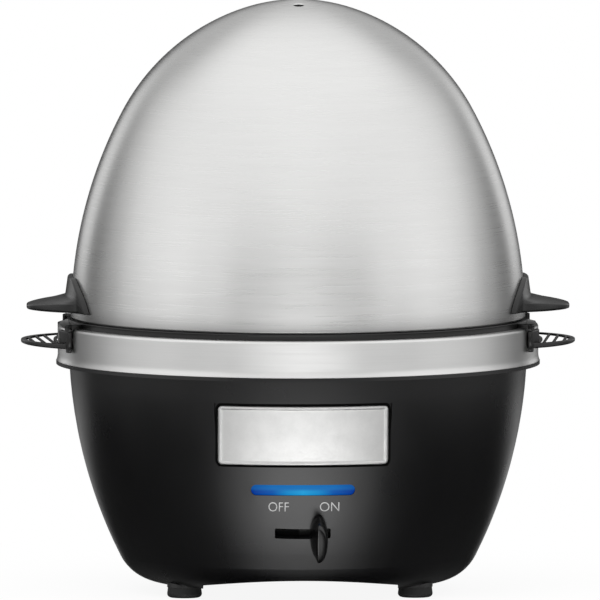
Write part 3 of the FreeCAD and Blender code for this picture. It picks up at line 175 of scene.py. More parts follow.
def turned(section, steps=180):
    """The closed skin of a section turned about the Z axis."""
    return skin(rings(section, steps))


def arc(centre, radius, start, end, steps):
    """Points on an arc about a centre: centre + radius * (cos a, sin a), with a in degrees."""
    angle = np.radians(np.linspace(start, end, steps))
    return np.stack((centre[0] + radius * np.cos(angle), centre[1] + radius * np.sin(angle)), axis=-1)


def smooth(share):
    """A soft step: 3 s^2 - 2 s^3 of the share, held between 0 and 1."""
    share = np.clip(share, 0, 1)
    return share * share * (3 - 2 * share)


# Materials

def linear(code):
    """The linear colour of an sRGB hex code."""
    values = np.array([int(code[place:place + 2], 16) for place in (0, 2, 4)]) / 255
    low = values <= 0.04045
    return tuple(np.where(low, values / 12.92, ((values + 0.055) / 1.055) ** 2.4)) + (1.0,)


def add(tree, kind, settings=None, feeds=None):
    """Add a node, give it its settings, and feed its inputs with values or with other nodes' outputs."""
    made = tree.nodes.new(kind)
    for name, value in (settings or {}).items():
        setattr(made, name, value)
    for key, value in (feeds or {}).items():
        if isinstance(value, bpy.types.NodeSocket):
            tree.links.new(value, made.inputs[key])
        else:
            made.inputs[key].default_value = value
    return made


def new_material(name):
    """An empty material, its node tree and its output node."""
    material = bpy.data.materials.new(name)
    material.use_nodes = True
    material.node_tree.nodes.clear()
    return material, material.node_tree, add(material.node_tree, "ShaderNodeOutputMaterial")


def ramp(tree, share, stops, interpolation="LINEAR"):
    """A colour ramp over a share, with (place, colour) stops."""
    made = add(tree, "ShaderNodeValToRGB", feeds={"Fac": share})
    made.color_ramp.interpolation = interpolation
    while len(made.color_ramp.elements) < len(stops):
        made.color_ramp.elements.new(1)
    for element, (place, colour) in zip(made.color_ramp.elements, stops):
        element.position = place
        element.color = colour
    return made.outputs["Color"]


def grey(value):
    """A grey in linear light."""
    return (value, value, value, 1.0)


def tint(colour, share):
    """A colour made darker or lighter by a share, up to full white."""
    return tuple(min(value * share, 1) for value in colour[:3]) + (1.0,)


def noise(tree, place, size, detail):
    """Noise over a position, with features of a size in millimetres."""
    return add(tree, "ShaderNodeTexNoise", feeds={
        "Vector": place, "Scale": 1 / (size * MM), "Detail": detail}).outputs["Fac"]


# Sizes of patterns in millimetres: melt that cooled unevenly, clouding of plated metal, rolling grain, ink
COOLING = 35
CLOUDING = 6
ROLLING = 0.8
INK = 0.5


def moulded(name, code, roughness, spread=0.06, grain=0.35, depth=0.02, ior=1.5):
    """Moulded plastic or rubber: one colour through and through, with a faint spark-eroded grain.

    Roughness drifts over a few centimetres, as it does where melt cooled unevenly, and the grain is a
    bump of the given size in millimetres.
    """
    material, tree, output = new_material(name)
    place = add(tree, "ShaderNodeTexCoord").outputs["Object"]
    worn = add(tree, "ShaderNodeMapRange", feeds={
        "Value": noise(tree, place, COOLING, 3.0), "From Min": 0.3, "From Max": 0.7,
        "To Min": roughness - spread / 2, "To Max": roughness + spread / 2})
    bump = add(tree, "ShaderNodeBump", feeds={
        "Height": noise(tree, place, grain, 2.0), "Distance": depth * MM, "Strength": 1.0})
    shader = add(tree, "ShaderNodeBsdfPrincipled", feeds={
        "Base Color": linear(code), "Roughness": worn.outputs["Result"], "IOR": ior,
        "Normal": bump.outputs["Normal"]})
    tree.links.new(shader.outputs["BSDF"], output.inputs["Surface"])
    return material


def brushed(name, code, roughness, line=0.45, sweep=2.6, tone=0.018, anisotropy=0.75, depth=0.003, painted_shade=()):
    """Sheet steel brushed round the Z axis, which smears its reflections up and down.

    The lines follow circles: a noise read at (cos a, sin a) times a small sweep and at (height - radius)
    over the line's width in millimetres, so that it closes on itself and turns over the dome's top. Real
    lines are about 0.1 mm wide; these are drawn wider so that they show. The last argument lists pairs of
    height in millimetres and share of the colour for painted shade: the colour is darkened by height, as
    where the sheet lies in shade and reflects the dark parts below it.
    """
    material, tree, output = new_material(name)
    place = add(tree, "ShaderNodeTexCoord").outputs["Object"]
    parts = add(tree, "ShaderNodeSeparateXYZ", feeds={"Vector": place})
    flat = add(tree, "ShaderNodeCombineXYZ", feeds={"X": parts.outputs["X"], "Y": parts.outputs["Y"]})
    round_way = add(tree, "ShaderNodeVectorMath", {"operation": "NORMALIZE"}, {0: flat.outputs["Vector"]})
    radius = add(tree, "ShaderNodeVectorMath", {"operation": "LENGTH"}, {0: flat.outputs["Vector"]})
    along = add(tree, "ShaderNodeMath", {"operation": "SUBTRACT"},
                {0: parts.outputs["Z"], 1: radius.outputs["Value"]})
    swept = add(tree, "ShaderNodeVectorMath", {"operation": "SCALE"},
                {0: round_way.outputs["Vector"], "Scale": sweep})
    lines = []
    for width in (line, line * 7):
        stepped = add(tree, "ShaderNodeMath", {"operation": "MULTIPLY"},
                      {0: along.outputs["Value"], 1: 1 / (width * MM)})
        lifted = add(tree, "ShaderNodeCombineXYZ", feeds={"Z": stepped.outputs["Value"]})
        where = add(tree, "ShaderNodeVectorMath", {"operation": "ADD"},
                    {0: swept.outputs["Vector"], 1: lifted.outputs["Vector"]})
        strokes = add(tree, "ShaderNodeTexNoise", feeds={
            "Vector": where.outputs["Vector"], "Scale": 1.0, "Detail": 2.0, "Roughness": 0.6})
        lines.append(strokes.outputs["Fac"])
    mixed = add(tree, "ShaderNodeMix", {"data_type": "FLOAT"}, {"Factor": 0.45, 2: lines[0], 3: lines[1]})
    shade = linear(code)
    colour = ramp(tree, mixed.outputs[0], [(0.36, tint(shade, 1 - tone)), (0.64, tint(shade, 1 + tone))])
    # Painted shade: the steel's colour is darkened by height, down towards the dome's hem
    if painted_shade:
        low, high = painted_shade[0][0], painted_shade[-1][0]
        height = add(tree, "ShaderNodeMapRange", feeds={
            "Value": parts.outputs["Z"], "From Min": low * MM, "From Max": high * MM})
        shade = ramp(tree, height.outputs["Result"], [
            ((level - low) / (high - low), grey(share)) for level, share in painted_shade])
        colour = add(tree, "ShaderNodeVectorMath", {"operation": "MULTIPLY"}, {0: colour, 1: shade})
        colour = colour.outputs["Vector"]
    rough = add(tree, "ShaderNodeMapRange", feeds={
        "Value": lines[0], "From Min": 0.35, "From Max": 0.65,
        "To Min": roughness - 0.03, "To Max": roughness + 0.03})
    bump = add(tree, "ShaderNodeBump", feeds={
        "Height": lines[0], "Distance": depth * MM, "Strength": 1.0})
    tangent = add(tree, "ShaderNodeTangent", {"direction_type": "RADIAL", "axis": "Z"})
    shader = add(tree, "ShaderNodeBsdfPrincipled", feeds={
        "Base Color": colour, "Metallic": 1.0, "Roughness": rough.outputs["Result"],
        "Anisotropic": anisotropy, "Anisotropic Rotation": 0.25,
        "Tangent": tangent.outputs["Tangent"], "Normal": bump.outputs["Normal"]})
    tree.links.new(shader.outputs["BSDF"], output.inputs["Surface"])
    return material


def plain_metal(name, code, roughness, tone=0.06):
    """Plated, pressed or drawn metal without a brushed direction: faint clouding and fine rolling grain."""
    material, tree, output = new_material(name)
    place = add(tree, "ShaderNodeTexCoord").outputs["Object"]
    shade = linear(code)
    colour = ramp(tree, noise(tree, place, CLOUDING, 4.0), [(0.35, tint(shade, 1 - tone)), (0.65, shade)])
    rough = add(tree, "ShaderNodeMapRange", feeds={
        "Value": noise(tree, place, ROLLING, 2.0), "From Min": 0.3, "From Max": 0.7,
        "To Min": roughness - 0.05, "To Max": roughness + 0.05})
    shader = add(tree, "ShaderNodeBsdfPrincipled", feeds={
        "Base Color": colour, "Metallic": 1.0, "Roughness": rough.outputs["Result"]})
    tree.links.new(shader.outputs["BSDF"], output.inputs["Surface"])
    return material


# ABS, injection moulded and semi-gloss: near black, with broad soft reflections
housing_abs = moulded("abs_black_moulded", "080809", 0.29, ior=1.54)
# ABS inside the base, matte from a coarser mould
fitting_abs = moulded("abs_black_matte", "0c0c0c", 0.6, grain=0.6, depth=0.03)
# Polished ABS knob: small, rather sharp highlights
knob_abs = moulded("abs_black_polished", "070707", 0.22, spread=0.04, depth=0.004, ior=1.6)
# Polypropylene trays, satin: a greyer, softer sheen than the housing
tray_polypropylene = moulded("polypropylene_black_satin", "090909", 0.29)
# Glass-filled nylon grips: satin, with a grey sheen where they turn to the light
grip_nylon = moulded("nylon_black_satin", "090909", 0.27)
# Rubber feet and gland, moulded and matte
foot_rubber = moulded("rubber_black_moulded", "171717", 0.7, grain=0.5, depth=0.03)
gland_rubber = moulded("pvc_black_soft", "131313", 0.55, grain=0.5)
# Near-black matte ring round the badge: painted shade, so that the gap reads black where the recess lies in
# shade
gap_shade_black = moulded("black_matte_painted_shade", "060606", 0.95, spread=0.04, grain=0.4, ior=1.15)
# Silicone seal, moulded and dull
seal_silicone = moulded("silicone_grey_moulded", "b9b9b4", 0.6)
# Polyamide terminal block and lamp bodies
block_polyamide = moulded("polyamide_white_moulded", "dedccf", 0.5)
lamp_epoxy = moulded("epoxy_blue_cast", "1d5fd0", 0.12)
# Stainless steel sheet, brushed round the axis: reflections smeared up and down, with painted shade greying
# it towards the hem
dome_steel = brushed("stainless_steel_brushed_round", "e6e6e5", 0.3, painted_shade=(
    (105.6, 0.58), (107.2, 0.66), (108.6, 0.8), (110.2, 0.9), (112.5, 1.0)))
band_steel = brushed("stainless_steel_brushed_band", "ebebea", 0.34)
dish_steel = brushed("stainless_steel_spun", "cfcfcc", 0.26, line=0.9)
# Plated zinc badge, satin with bright edges
badge_zinc = plain_metal("zinc_die_cast_satin_plated", "dadad9", 0.49)
# Zinc-plated steel screws, nuts and clips, slightly blue and clouded
plated_steel = plain_metal("steel_zinc_plated", "b4b8bb", 0.36)
# Pressed aluminium plates
pressed_aluminium = plain_metal("aluminium_pressed", "c9cacb", 0.42)
# Heater tube darkened by heat
heater_steel = plain_metal("steel_tube_heat_darkened", "6b655d", 0.5, tone=0.25)


def laminate(name):
    """Lacquered glass-fibre board: green lacquer over a weave of about 0.5 mm, drawn at 1 mm."""
    material, tree, output = new_material(name)
    place = add(tree, "ShaderNodeTexCoord").outputs["Object"]
    weave = add(tree, "ShaderNodeTexBrick", feeds={
        "Vector": place, "Scale": 1 / (4 * MM), "Color1": linear("1c5a33"), "Color2": linear("18502d"),
        "Mortar": linear("2a6b3d")})
    shader = add(tree, "ShaderNodeBsdfPrincipled", feeds={
        "Base Color": weave.outputs["Color"], "Roughness": 0.32})
    tree.links.new(shader.outputs["BSDF"], output.inputs["Surface"])
    return material


board_laminate = laminate("glass_fibre_laminate_green")


def lit_acrylic(name):
    """Clear blue acrylic bar lit from behind: brightest in the middle, deep blue towards its ends.

    Glow is a ramp over the distance from the middle, in shares of half the bar, times another over the
    height of the bar, since its top edge catches more room light than lamp light.
    """
    material, tree, output = new_material(name)
    place = add(tree, "ShaderNodeTexCoord").outputs["Object"]
    parts = add(tree, "ShaderNodeSeparateXYZ", feeds={"Vector": place})
    away = add(tree, "ShaderNodeMath", {"operation": "ABSOLUTE"}, {0: parts.outputs["X"]})
    share = add(tree, "ShaderNodeMath", {"operation": "DIVIDE"},
                {0: away.outputs["Value"], 1: 20 * MM})
    height = add(tree, "ShaderNodeMapRange", feeds={
        "Value": parts.outputs["Z"], "From Min": (BAR_LEVEL - 2) * MM, "From Max": (BAR_LEVEL + 2) * MM})
    low = ramp(tree, share.outputs["Value"], [
        (0.0, linear("22a8e0")), (0.3, linear("1490ce")), (0.58, linear("0556aa")), (1.0, linear("012686"))])
    high = ramp(tree, share.outputs["Value"], [
        (0.0, linear("1d78bb")), (0.6, linear("1c70b6")), (1.0, linear("12529a"))])
    blended = add(tree, "ShaderNodeMapRange", {"interpolation_type": "SMOOTHSTEP"}, {
        "Value": height.outputs["Result"], "From Min": 0.35, "From Max": 0.7})
    glow = add(tree, "ShaderNodeMix", {"data_type": "RGBA"}, {
        "Factor": blended.outputs["Result"], 6: low, 7: high})
    shader = add(tree, "ShaderNodeBsdfPrincipled", feeds={
        "Base Color": linear("04214a"), "Roughness": 0.2, "IOR": 1.49, "Specular IOR Level": 0.05,
        "Emission Color": glow.outputs[2], "Emission Strength": 0.8})
    tree.links.new(shader.outputs["BSDF"], output.inputs["Surface"])
    return material


lens_acrylic = lit_acrylic("acrylic_blue_lit")


def printed(name):
    """Pad-printed grey ink: flat and slightly uneven in strength."""
    material, tree, output = new_material(name)
    place = add(tree, "ShaderNodeTexCoord").outputs["Object"]
    colour = ramp(tree, noise(tree, place, INK, 2.0), [(0.3, linear("b9b9b9")), (0.7, linear("cdcdcd"))])
    shader = add(tree, "ShaderNodeBsdfPrincipled", feeds={"Base Color": colour, "Roughness": 0.6})
    tree.links.new(shader.outputs["BSDF"], output.inputs["Surface"])
    return material


switch_ink = printed("ink_grey_pad_printed")

finishes = {
    "black_housing_plastic": housing_abs, "black_fitting_plastic": fitting_abs,
    "black_gloss_plastic": knob_abs, "black_tray_plastic": tray_polypropylene,
    "black_handle_plastic": grip_nylon, "foot_rubber": foot_rubber, "gland_rubber": gland_rubber,
    "silicone_rubber": seal_silicone, "brushed_stainless_steel": dome_steel,
    "heater_sheath_steel": heater_steel, "zinc_plated_steel": plated_steel,
    "pressed_aluminium": pressed_aluminium, "plated_badge": badge_zinc, "blue_lens_plastic": lens_acrylic,
    "blue_lamp_plastic": lamp_epoxy, "white_terminal_plastic": block_polyamide,
    "board_laminate": board_laminate,
}
for entry in frame["record"]["subparts"]:
    node = frame["nodes"][entry["node"]]
    node.data.materials.clear()
    node.data.materials.append(finishes[entry["material_slot"]])
frame["nodes"]["heating_dish"].data.materials[0] = dish_steel


# The housing's flank: its lower corner, then one long arc up to the top

UNDERSIDE = 4.0
CORNER_CENTRE = 52.6
CORNER = 17.9
FLANK_ANGLE = math.radians(26.6)
FLANK = 187.4
CORNER_LEVEL = UNDERSIDE + CORNER
JOIN_RADIUS = CORNER_CENTRE + CORNER * math.cos(FLANK_ANGLE)
JOIN_LEVEL = CORNER_LEVEL - CORNER * math.sin(FLANK_ANGLE)
FLANK_CENTRE = JOIN_RADIUS - FLANK * math.cos(FLANK_ANGLE)
FLANK_LEVEL = JOIN_LEVEL + FLANK * math.sin(FLANK_ANGLE)


def flank_radius(level):
    """Radius at a level: the flank's centre plus the leg left of its radius at that height."""
    return FLANK_CENTRE + np.sqrt(FLANK ** 2 - (level - FLANK_LEVEL) ** 2)


def on_flank(across, level, proud):
    """Points a given distance proud of the flank, at a place across the front and a level.

    The outward normal leans down by the flank's slope, so it is (cos s) outward and (-sin s) up, with
    sin s = (flank level - level) / flank radius.
    """
    lean = np.arcsin((FLANK_LEVEL - level) / FLANK)
    radius = flank_radius(level) + proud * np.cos(lean)
    height = level - proud * np.sin(lean)
    return np.stack((across, -np.sqrt(radius ** 2 - across ** 2), height), axis=-1)


# Steel band and dome

def steel_band():
    """Band of sheet steel turned from one section: upright wall, rounded top, flat fold in, flared foot.

    Its foot flares out by 0.4 mm over its last 3 mm, which catches the light as a thin line.
    """
    section = np.vstack((
        [(92.95, 89.32), (93.06, 89.38), (93.09, 89.5), (93.05, 89.72), (92.95, 90.1), (92.83, 90.6)],
        [(92.74, 91.1), (92.69, 91.6), (BAND_RADIUS, 92.2), (BAND_RADIUS, 96.0), (BAND_RADIUS, 101.7)],
        arc((91.685, 102.3), 1.0, 0, 90, 12), [(91.1, 103.3), (88.0, 103.3)],
        arc((86.4, 102.9), 0.4, 90, 180, 5), [(86.0, 102.5), (88.0, 102.5), (91.3, 102.5)],
        arc((91.685, 102.3), 0.2, 90, 0, 5), [(91.885, 96.0), (91.885, 91.2), (91.885, 89.32)]))
    return turned(section)


add_piece("trim_band_flared", steel_band(), band_steel, "base", ["trim_ring"])


def dome_arcs(inset):
    """The dome's section from 24 mm beside its axis to 1.2 mm above its mouth: shoulder arc, flank arc."""
    start = math.degrees(math.acos((CAP_EDGE - SHOULDER_CENTRE[0]) / (SHOULDER - inset)))
    shoulder = arc(SHOULDER_CENTRE, SHOULDER - inset, start, SHOULDER_ANGLE, 26)
    flank = arc((DOME_CENTRE, DOME_MOUTH), DOME_FLANK - inset, SHOULDER_ANGLE, 0.4, 60)
    return np.vstack((shoulder, flank[1:]))


def dome_level(radius, inset):
    """Height of the dome near its axis: the crown's arc inside 21.02 mm, the shoulder's arc outside."""
    crown = CROWN_LEVEL + np.sqrt(np.maximum((CROWN - inset) ** 2 - radius ** 2, 1.0))
    middle, level = SHOULDER_CENTRE
    shoulder = level + np.sqrt(np.maximum((SHOULDER - inset) ** 2 - (radius - middle) ** 2, 1.0))
    return np.where(radius < CROWN_EDGE, crown, shoulder)


def dome_cap(hole, sink, share, inset):
    """Rings that grow from the vent's round hole to a circle of 24 mm about the axis.

    At share s a ring's centre is (0, -13 (1 - s)) and its radius hole (1 - s) + 24 s. Each point drops to
    the dome's height there, less a sink that rounds the hole's edge.
    """
    angle = np.arange(DOME_STEPS) * 2 * math.pi / DOME_STEPS
    share = np.asarray(share, float)[:, None]
    reach = hole * (1 - share) + CAP_EDGE * share
    across = reach * np.cos(angle)
    along = VENT_PLACE * (1 - share) + reach * np.sin(angle)
    return np.stack((across, along, dome_level(np.hypot(across, along), inset) - sink), axis=-1)


def steel_dome():
    """Drawn steel lid as one closed skin: vent, crown, shoulder, flank, curled mouth, then the inside."""
    mouth = arc((86.565, 106.6), 1.0, -2, -90, 8)
    section = np.vstack((
        dome_arcs(0.0)[1:], mouth, [(86.1, 105.66), (85.965, 105.9), (85.965, 108.4), (86.3, 108.9)],
        dome_arcs(DOME_SHEET)[-4::-1][:-1]))
    share = np.linspace(0, 1, 14) ** 1.4
    return skin(np.concatenate((
        dome_cap(2.05, 0.3, [0.0], 0.0), dome_cap(2.1, 0.1, [0.0], 0.0), dome_cap(2.3, 0.0, share, 0.0),
        rings(section, DOME_STEPS), dome_cap(2.3, 0.0, share[::-1], DOME_SHEET),
        dome_cap(2.05, -0.1, [0.0], DOME_SHEET))))


add_piece("lid_dome_drawn", steel_dome(), dome_steel, "lid", ["lid_dome"])


def drip_edge():
    """Rim moulded round the lower tray's flange: it leans out by 13 degrees and is rounded at its top."""
    return turned(np.array([
        (88.2, 103.34), (88.33, 103.34), (88.39, 103.44), (88.6, 104.35), (88.8, 105.2), (88.82, 105.42),
        (88.78, 105.58), (88.66, 105.7), (88.45, 105.74), (88.2, 105.72)]))


add_piece("egg_tray_drip_edge", drip_edge(), tray_polypropylene, "lower_tray")


# Pieces that lie on the front of the housing

def rounded_frames(half_width, half_height, corner, insets, steps=10, sides=(48, 16)):
    """Concentric rounded rectangles, one row per inset, with the same number of points on each.

    An inset shrinks the half sizes and the corner alike, down to a flat line in the middle.
    """
    insets = np.asarray(insets, float)[:, None]
    wide, tall = half_width - insets, half_height - insets
    bend = np.minimum(np.maximum(corner - insets, 0.01), np.maximum(tall, 0.0))
    along = np.linspace(-1, 1, sides[0] + 1)[None, 1:-1]
    up = np.linspace(-1, 1, sides[1] + 1)[None, 1:-1]
    turn = np.radians(np.linspace(0, 90, steps + 1))[None, :]
    flat_x, flat_y = wide - bend, tall - bend
    across = np.hstack((flat_x * along, flat_x + bend * np.sin(turn), wide + 0 * up,
                        flat_x + bend * np.cos(turn), -flat_x * along, -flat_x - bend * np.sin(turn),
                        -wide + 0 * up, -flat_x - bend * np.cos(turn)))
    height = np.hstack((-tall + 0 * along, -flat_y - bend * np.cos(turn), flat_y * up,
                        flat_y + bend * np.sin(turn), tall + 0 * along, flat_y + bend * np.cos(turn),
                        -flat_y * up, -flat_y - bend * np.sin(turn)))
    return across, height


def plaque(half_width, half_height, corner, level, profile, ends="seam"):
    """A plate on the flank: rounded rectangles at (inset, proud) pairs, from its back to its face."""
    insets, proud = np.array(profile, float).T
    across, height = rounded_frames(half_width, half_height, corner, insets)
    return skin(on_flank(across, level + height, proud[:, None] + 0 * across), ends)


def badge():
    """Bare plate: bright chamfered rim 1.3 mm wide round a satin panel that lies a little lower."""
    middle = BADGE_HALF[1]
    profile = [(middle, -0.7), (4.0, -0.7), (0.3, -0.7), (0.0, -0.6), (0.0, 0.2), (0.04, 0.45), (0.14, 0.66),
               (0.34, 0.82), (0.6, 0.88), (0.85, 0.88), (1.05, 0.8), (1.25, 0.6), (1.4, 0.5), (1.6, 0.46),
               (2.2, 0.45), (4.0, 0.45), (6.0, 0.45), (8.5, 0.45), (middle, 0.45)]
    return plaque(*BADGE_HALF, BADGE_CORNER, BADGE_LEVEL, profile)


add_piece("badge_plate_rimmed", badge(), badge_zinc, "base", ["badge_plate"])


def badge_gap_shade_ring():
    """Matt black ring round the badge, 1 mm wide, that fills its gap and stands 0.04 mm over the wall:
    painted shade, a dark piece where the badge's recess lies in shade.
    """
    profile = [(0.1, -0.75), (-1.0, -0.75), (-1.0, -0.2), (-0.94, 0.04), (-0.05, 0.04), (0.1, -0.2)]
    return plaque(*BADGE_HALF, BADGE_CORNER, BADGE_LEVEL, profile, "loop")


# Painted shade: a near-black matte ring in the gap round the badge
add_piece("badge_gap_painted_shade", badge_gap_shade_ring(), gap_shade_black, "base")


def light_bar():
    """Clear bar with rounded ends: crowned 0.3 mm over its width, with edges that turn into the wall."""
    half = (19.85, 2.0)
    profile = [(half[1], -5.0), (1.0, -5.0), (0.1, -5.0), (0.0, -4.8), (0.0, -1.0), (0.0, -0.25),
               (0.05, -0.05), (0.2, 0.1), (0.5, 0.2), (1.0, 0.27), (1.5, 0.3), (half[1], 0.3)]
    return plaque(*half, half[1], BAR_LEVEL, profile)


add_piece("light_bar_crowned", light_bar(), lens_acrylic, "base", ["light_lens"])


def knob():
    """Upright fin: lens-shaped outlines that narrow towards a crest a little left of its middle.

    At turn t the outline is (half width * sin t * |sin t|^0.15, half height * -cos t), with |sin t|^-0.2 in
    its rounder lower half. The half height is 8.1 mm above the middle and 9.0 mm below it. Each flank has
    its own share of the width along the depth: the left one slants evenly, the right one stays upright and
    then turns into a flatter face. The table's rows are (depth, left share, right share, share of height).
    """
    turn = np.arange(96) * 2 * math.pi / 96
    depth, left, right, tall = np.array([
        (0.0, 0.0, 0.0, 0.0), (0.0, 0.9, 0.9, 0.95), (0.12, 0.98, 0.98, 0.99), (0.5, 1.0, 1.0, 1.0),
        (1.2, 1.0, 1.0, 1.0), (2.4, 0.96, 1.0, 1.0), (4.4, 0.76, 0.99, 0.985), (6.2, 0.53, 0.97, 0.965),
        (7.1, 0.4, 0.93, 0.95), (7.6, 0.33, 0.89, 0.93), (7.95, 0.27, 0.84, 0.905), (8.3, 0.21, 0.72, 0.87),
        (8.6, 0.16, 0.39, 0.8), (8.82, 0.11, 0.15, 0.67), (8.93, 0.05, 0.03, 0.43), (8.95, 0.0, 0.0, 0.0)]).T
    wave = np.sin(turn)
    width = np.where(wave > 0, right[:, None], left[:, None])
    across = 3.4 * width * np.sign(wave) * np.abs(wave) ** np.where(np.cos(turn) > 0, 0.8, 1.15)
    crest = -0.4 * smooth((depth - 5) / 4)[:, None]
    height = -9.35 * tall[:, None] * np.cos(turn) * np.where(np.cos(turn) < 0, 0.87, 0.96)
    lean = math.asin((FLANK_LEVEL - KNOB_LEVEL) / FLANK)
    out = 0.6 + depth[:, None] + 0 * across
    radius = float(flank_radius(KNOB_LEVEL))
    rows = np.stack((KNOB_PLACE + across + crest,
                     -radius - out * math.cos(lean) - height * math.sin(lean),
                     KNOB_LEVEL - out * math.sin(lean) + height * math.cos(lean)), axis=-1)
    return skin(rows, ends="fans")


add_piece("switch_knob_crested", knob(), knob_abs, "switch_slide", ["switch_knob"])


def lettering(word, centre, stretch):
    """Printed word on the flank, 5.3 mm type: the letters' outlines laid on it, 0.03 mm thick."""
    curve = bpy.data.curves.new(word, "FONT")
    curve.body = word
    curve.align_x = "CENTER"
    curve.size = 5.3
    curve.offset = -0.045
    curve.extrude = 0.015
    letters = bpy.data.objects.new(word, curve)
    mesh = bpy.data.meshes.new_from_object(letters)
    bpy.data.objects.remove(letters)
    points = np.empty(len(mesh.vertices) * 3)
    mesh.vertices.foreach_get("co", points)
    points = points.reshape(-1, 3)
    height = (points[:, 1].max() + points[:, 1].min()) / 2
    middle = (points[:, 0].max() + points[:, 0].min()) / 2
    placed = on_flank(centre + (points[:, 0] - middle) * stretch, WORD_LEVEL + points[:, 1] - height,
                      0.03 + points[:, 2])
    return placed, [list(face.vertices) for face in mesh.polygons]


add_piece("switch_word_off", lettering("OFF", -9.3, 0.88), switch_ink, "base")
add_piece("switch_word_on", lettering("ON", 10.2, 0.96), switch_ink, "base")


# Handles

def bar(corners, reach):
    """A bar through rows of four corners each, its long edges rounded and its ends closed."""
    return skin(rounded(corners, reach), ends="fans")


def curved_bar(centre, inner, outer, low, high, start, end, reach, steps=24):
    """A bar round a vertical line at (centre, 0), between two turns in degrees, with its own four sides.

    Sides may change from the start to the end: each is a number or an array over the steps.
    """
    turn = np.radians(np.linspace(start, end, steps))
    inner, outer, low, high = (side + 0 * turn for side in (inner, outer, low, high))
    radius = np.stack((inner, outer, outer, inner), axis=-1)
    height = np.stack((low, low, high, high), axis=-1)
    turn = turn[:, None]
    corners = np.stack((centre + radius * np.cos(turn), radius * np.sin(turn), height), axis=-1)
    return bar(corners, reach)


def tray_handle(side):
    """Slotted blade on two low arms that hug the steel band and reach over it to the tray's flange.

    The blade's rim follows a circle of 34 mm about a point inside the object, tall in front and thin at
    the back, and another rim follows the band. Webs cross the blade at a slant of 5 degrees. Each arm is
    a low wall outside the band, deeper at its outer end, where a lug bends over the band.
    """
    parts = []
    rim = np.linspace(-61, 61, 48)
    drop = 0.75 * (1 - np.sin(np.radians(rim))) + 0.6
    parts.append(curved_bar(
        BLADE_CENTRE, 32.0, 34.0, BLADE_TOP - drop, BLADE_TOP + 0 * rim, -61, 61, 0.5, 48))
    parts.append(curved_bar(0.0, 93.05, 94.35, 96.7, 97.6, -13.5, 13.5, 0.3, 24))
    slant = math.tan(math.radians(5))
    for middle in (95.9, 99.5, 103.1):
        half = math.sqrt(32.8 ** 2 - (middle - BLADE_CENTRE) ** 2)
        along = np.linspace(-half, half, 12)
        left, right = middle - 0.5 + slant * along, middle + 0.5 + slant * along
        low, high = 96.8 + 0 * along, 97.6 + 0 * along
        parts.append(bar(np.stack((
            np.stack((left, along, low), axis=-1), np.stack((right, along, low), axis=-1),
            np.stack((right, along, high), axis=-1), np.stack((left, along, high), axis=-1)), axis=1), 0.25))
    for hand in (-1, 1):
        for inner, low, high, start, reach, steps in (
                (ARM_INNER, 95.7, 102.6, 12.3, 0.45, 16), (ARM_INNER, 94.4, 96.6, 18.0, 0.3, 6),
                (ARM_INNER, 102.2, 105.0, 17.2, 0.35, 6), (88.4, 103.5, 105.0, 17.2, 0.35, 6)):
            parts.append(curved_bar(
                0.0, inner, ARM_OUTER, low, high, hand * start, hand * 19.3, reach, steps))
    points, faces = join(*parts)
    return points * (side, 1, 1), faces


add_piece("tray_handle_slotted_right", tray_handle(1), tray_polypropylene, "lower_tray",
          ["tray_handle_right"])
add_piece("tray_handle_slotted_left", tray_handle(-1), tray_polypropylene, "lower_tray",
          ["tray_handle_left"])


def dome_radius(level):
    """Outside of the dome's flank, an arc of 170.5 mm that starts upright at its mouth."""
    return DOME_CENTRE + np.sqrt(DOME_FLANK ** 2 - (level - DOME_MOUTH) ** 2)


def lid_handle(side):
    """Arched shield against the dome with a rounded blade growing out of its foot.

    A column stands at each place y across the handle. Its section is a closed outline in reach and
    height: foot, underside and edge of the blade, hollow fillet, face of the shield, and back along the
    dome. The shield's crest falls as 12.7 (1 - s^1.3)^(1/1.6), with s from 12 to 33 mm out. The blade's
    reach is a circle of 27 mm less the shield's face, eased to nothing where they meet.
    """
    across = 32.9 * np.sin(np.linspace(-1, 1, 121) * math.pi / 2)
    share = np.clip((np.abs(across) - 12) / 21, 0, 1)
    rise = 12.7 * (1 - share ** 1.3) ** (1 / 1.6)
    wall = 2.4 - 0.8 * smooth((np.abs(across) - 24) / 9)

    def reach_at(level, proud):
        radius = dome_radius(level) + 0.12 + proud
        return np.sqrt(np.maximum(radius ** 2 - across ** 2, 1.0))

    face = reach_at(GRIP_FOOT, wall)
    disc = GRIP_CENTRE + np.sqrt(np.maximum(GRIP_RADIUS ** 2 - across ** 2, 0.0)) - face
    disc = np.where(np.abs(across) < GRIP_RADIUS, disc, -12.0 - (np.abs(across) - GRIP_RADIUS))
    blade = (disc + np.sqrt(disc ** 2 + 1.2)) / 2
    tip = face + np.minimum(blade, GRIP_TIP - face.max())
    thick = np.minimum(3.6, rise * 0.55)
    edge_thick = np.minimum(3.6 - 1.6 * (blade / blade.max()) ** 1.6, thick)
    fillet = np.minimum(1.4, 0.4 * (rise - thick))
    corner_rise = [
        0 * across, 0.15 * smooth(blade / 3), edge_thick, 0.2 * edge_thick + 0.8 * thick,
        thick + fillet, rise, rise]
    middle = 0.45 * face + 0.55 * tip
    corner_reach = [
        reach_at(GRIP_FOOT, 0.0), tip, tip, middle, reach_at(GRIP_FOOT + thick + fillet, wall),
        reach_at(GRIP_FOOT + rise, wall * 0.8), reach_at(GRIP_FOOT + rise, 0.0)]
    cut = np.stack([0.3 + 0 * across, 0.9 + 0 * across, 0.9 + 0 * across, 2.5 + 0 * across, fillet,
                    0.8 + 0 * across, 0.25 + 0 * across], axis=-1)
    corners = np.stack((np.stack(corner_reach, axis=-1), np.stack(corner_rise, axis=-1)), axis=-1)
    outline = rounded(corners, cut)
    out, up = outline[..., 0], outline[..., 1]
    rows = np.stack((out, across[:, None] + 0 * out, GRIP_FOOT + up), axis=-1)
    points, faces = skin(rows, ends="fans")
    return points * (side, 1, 1), faces


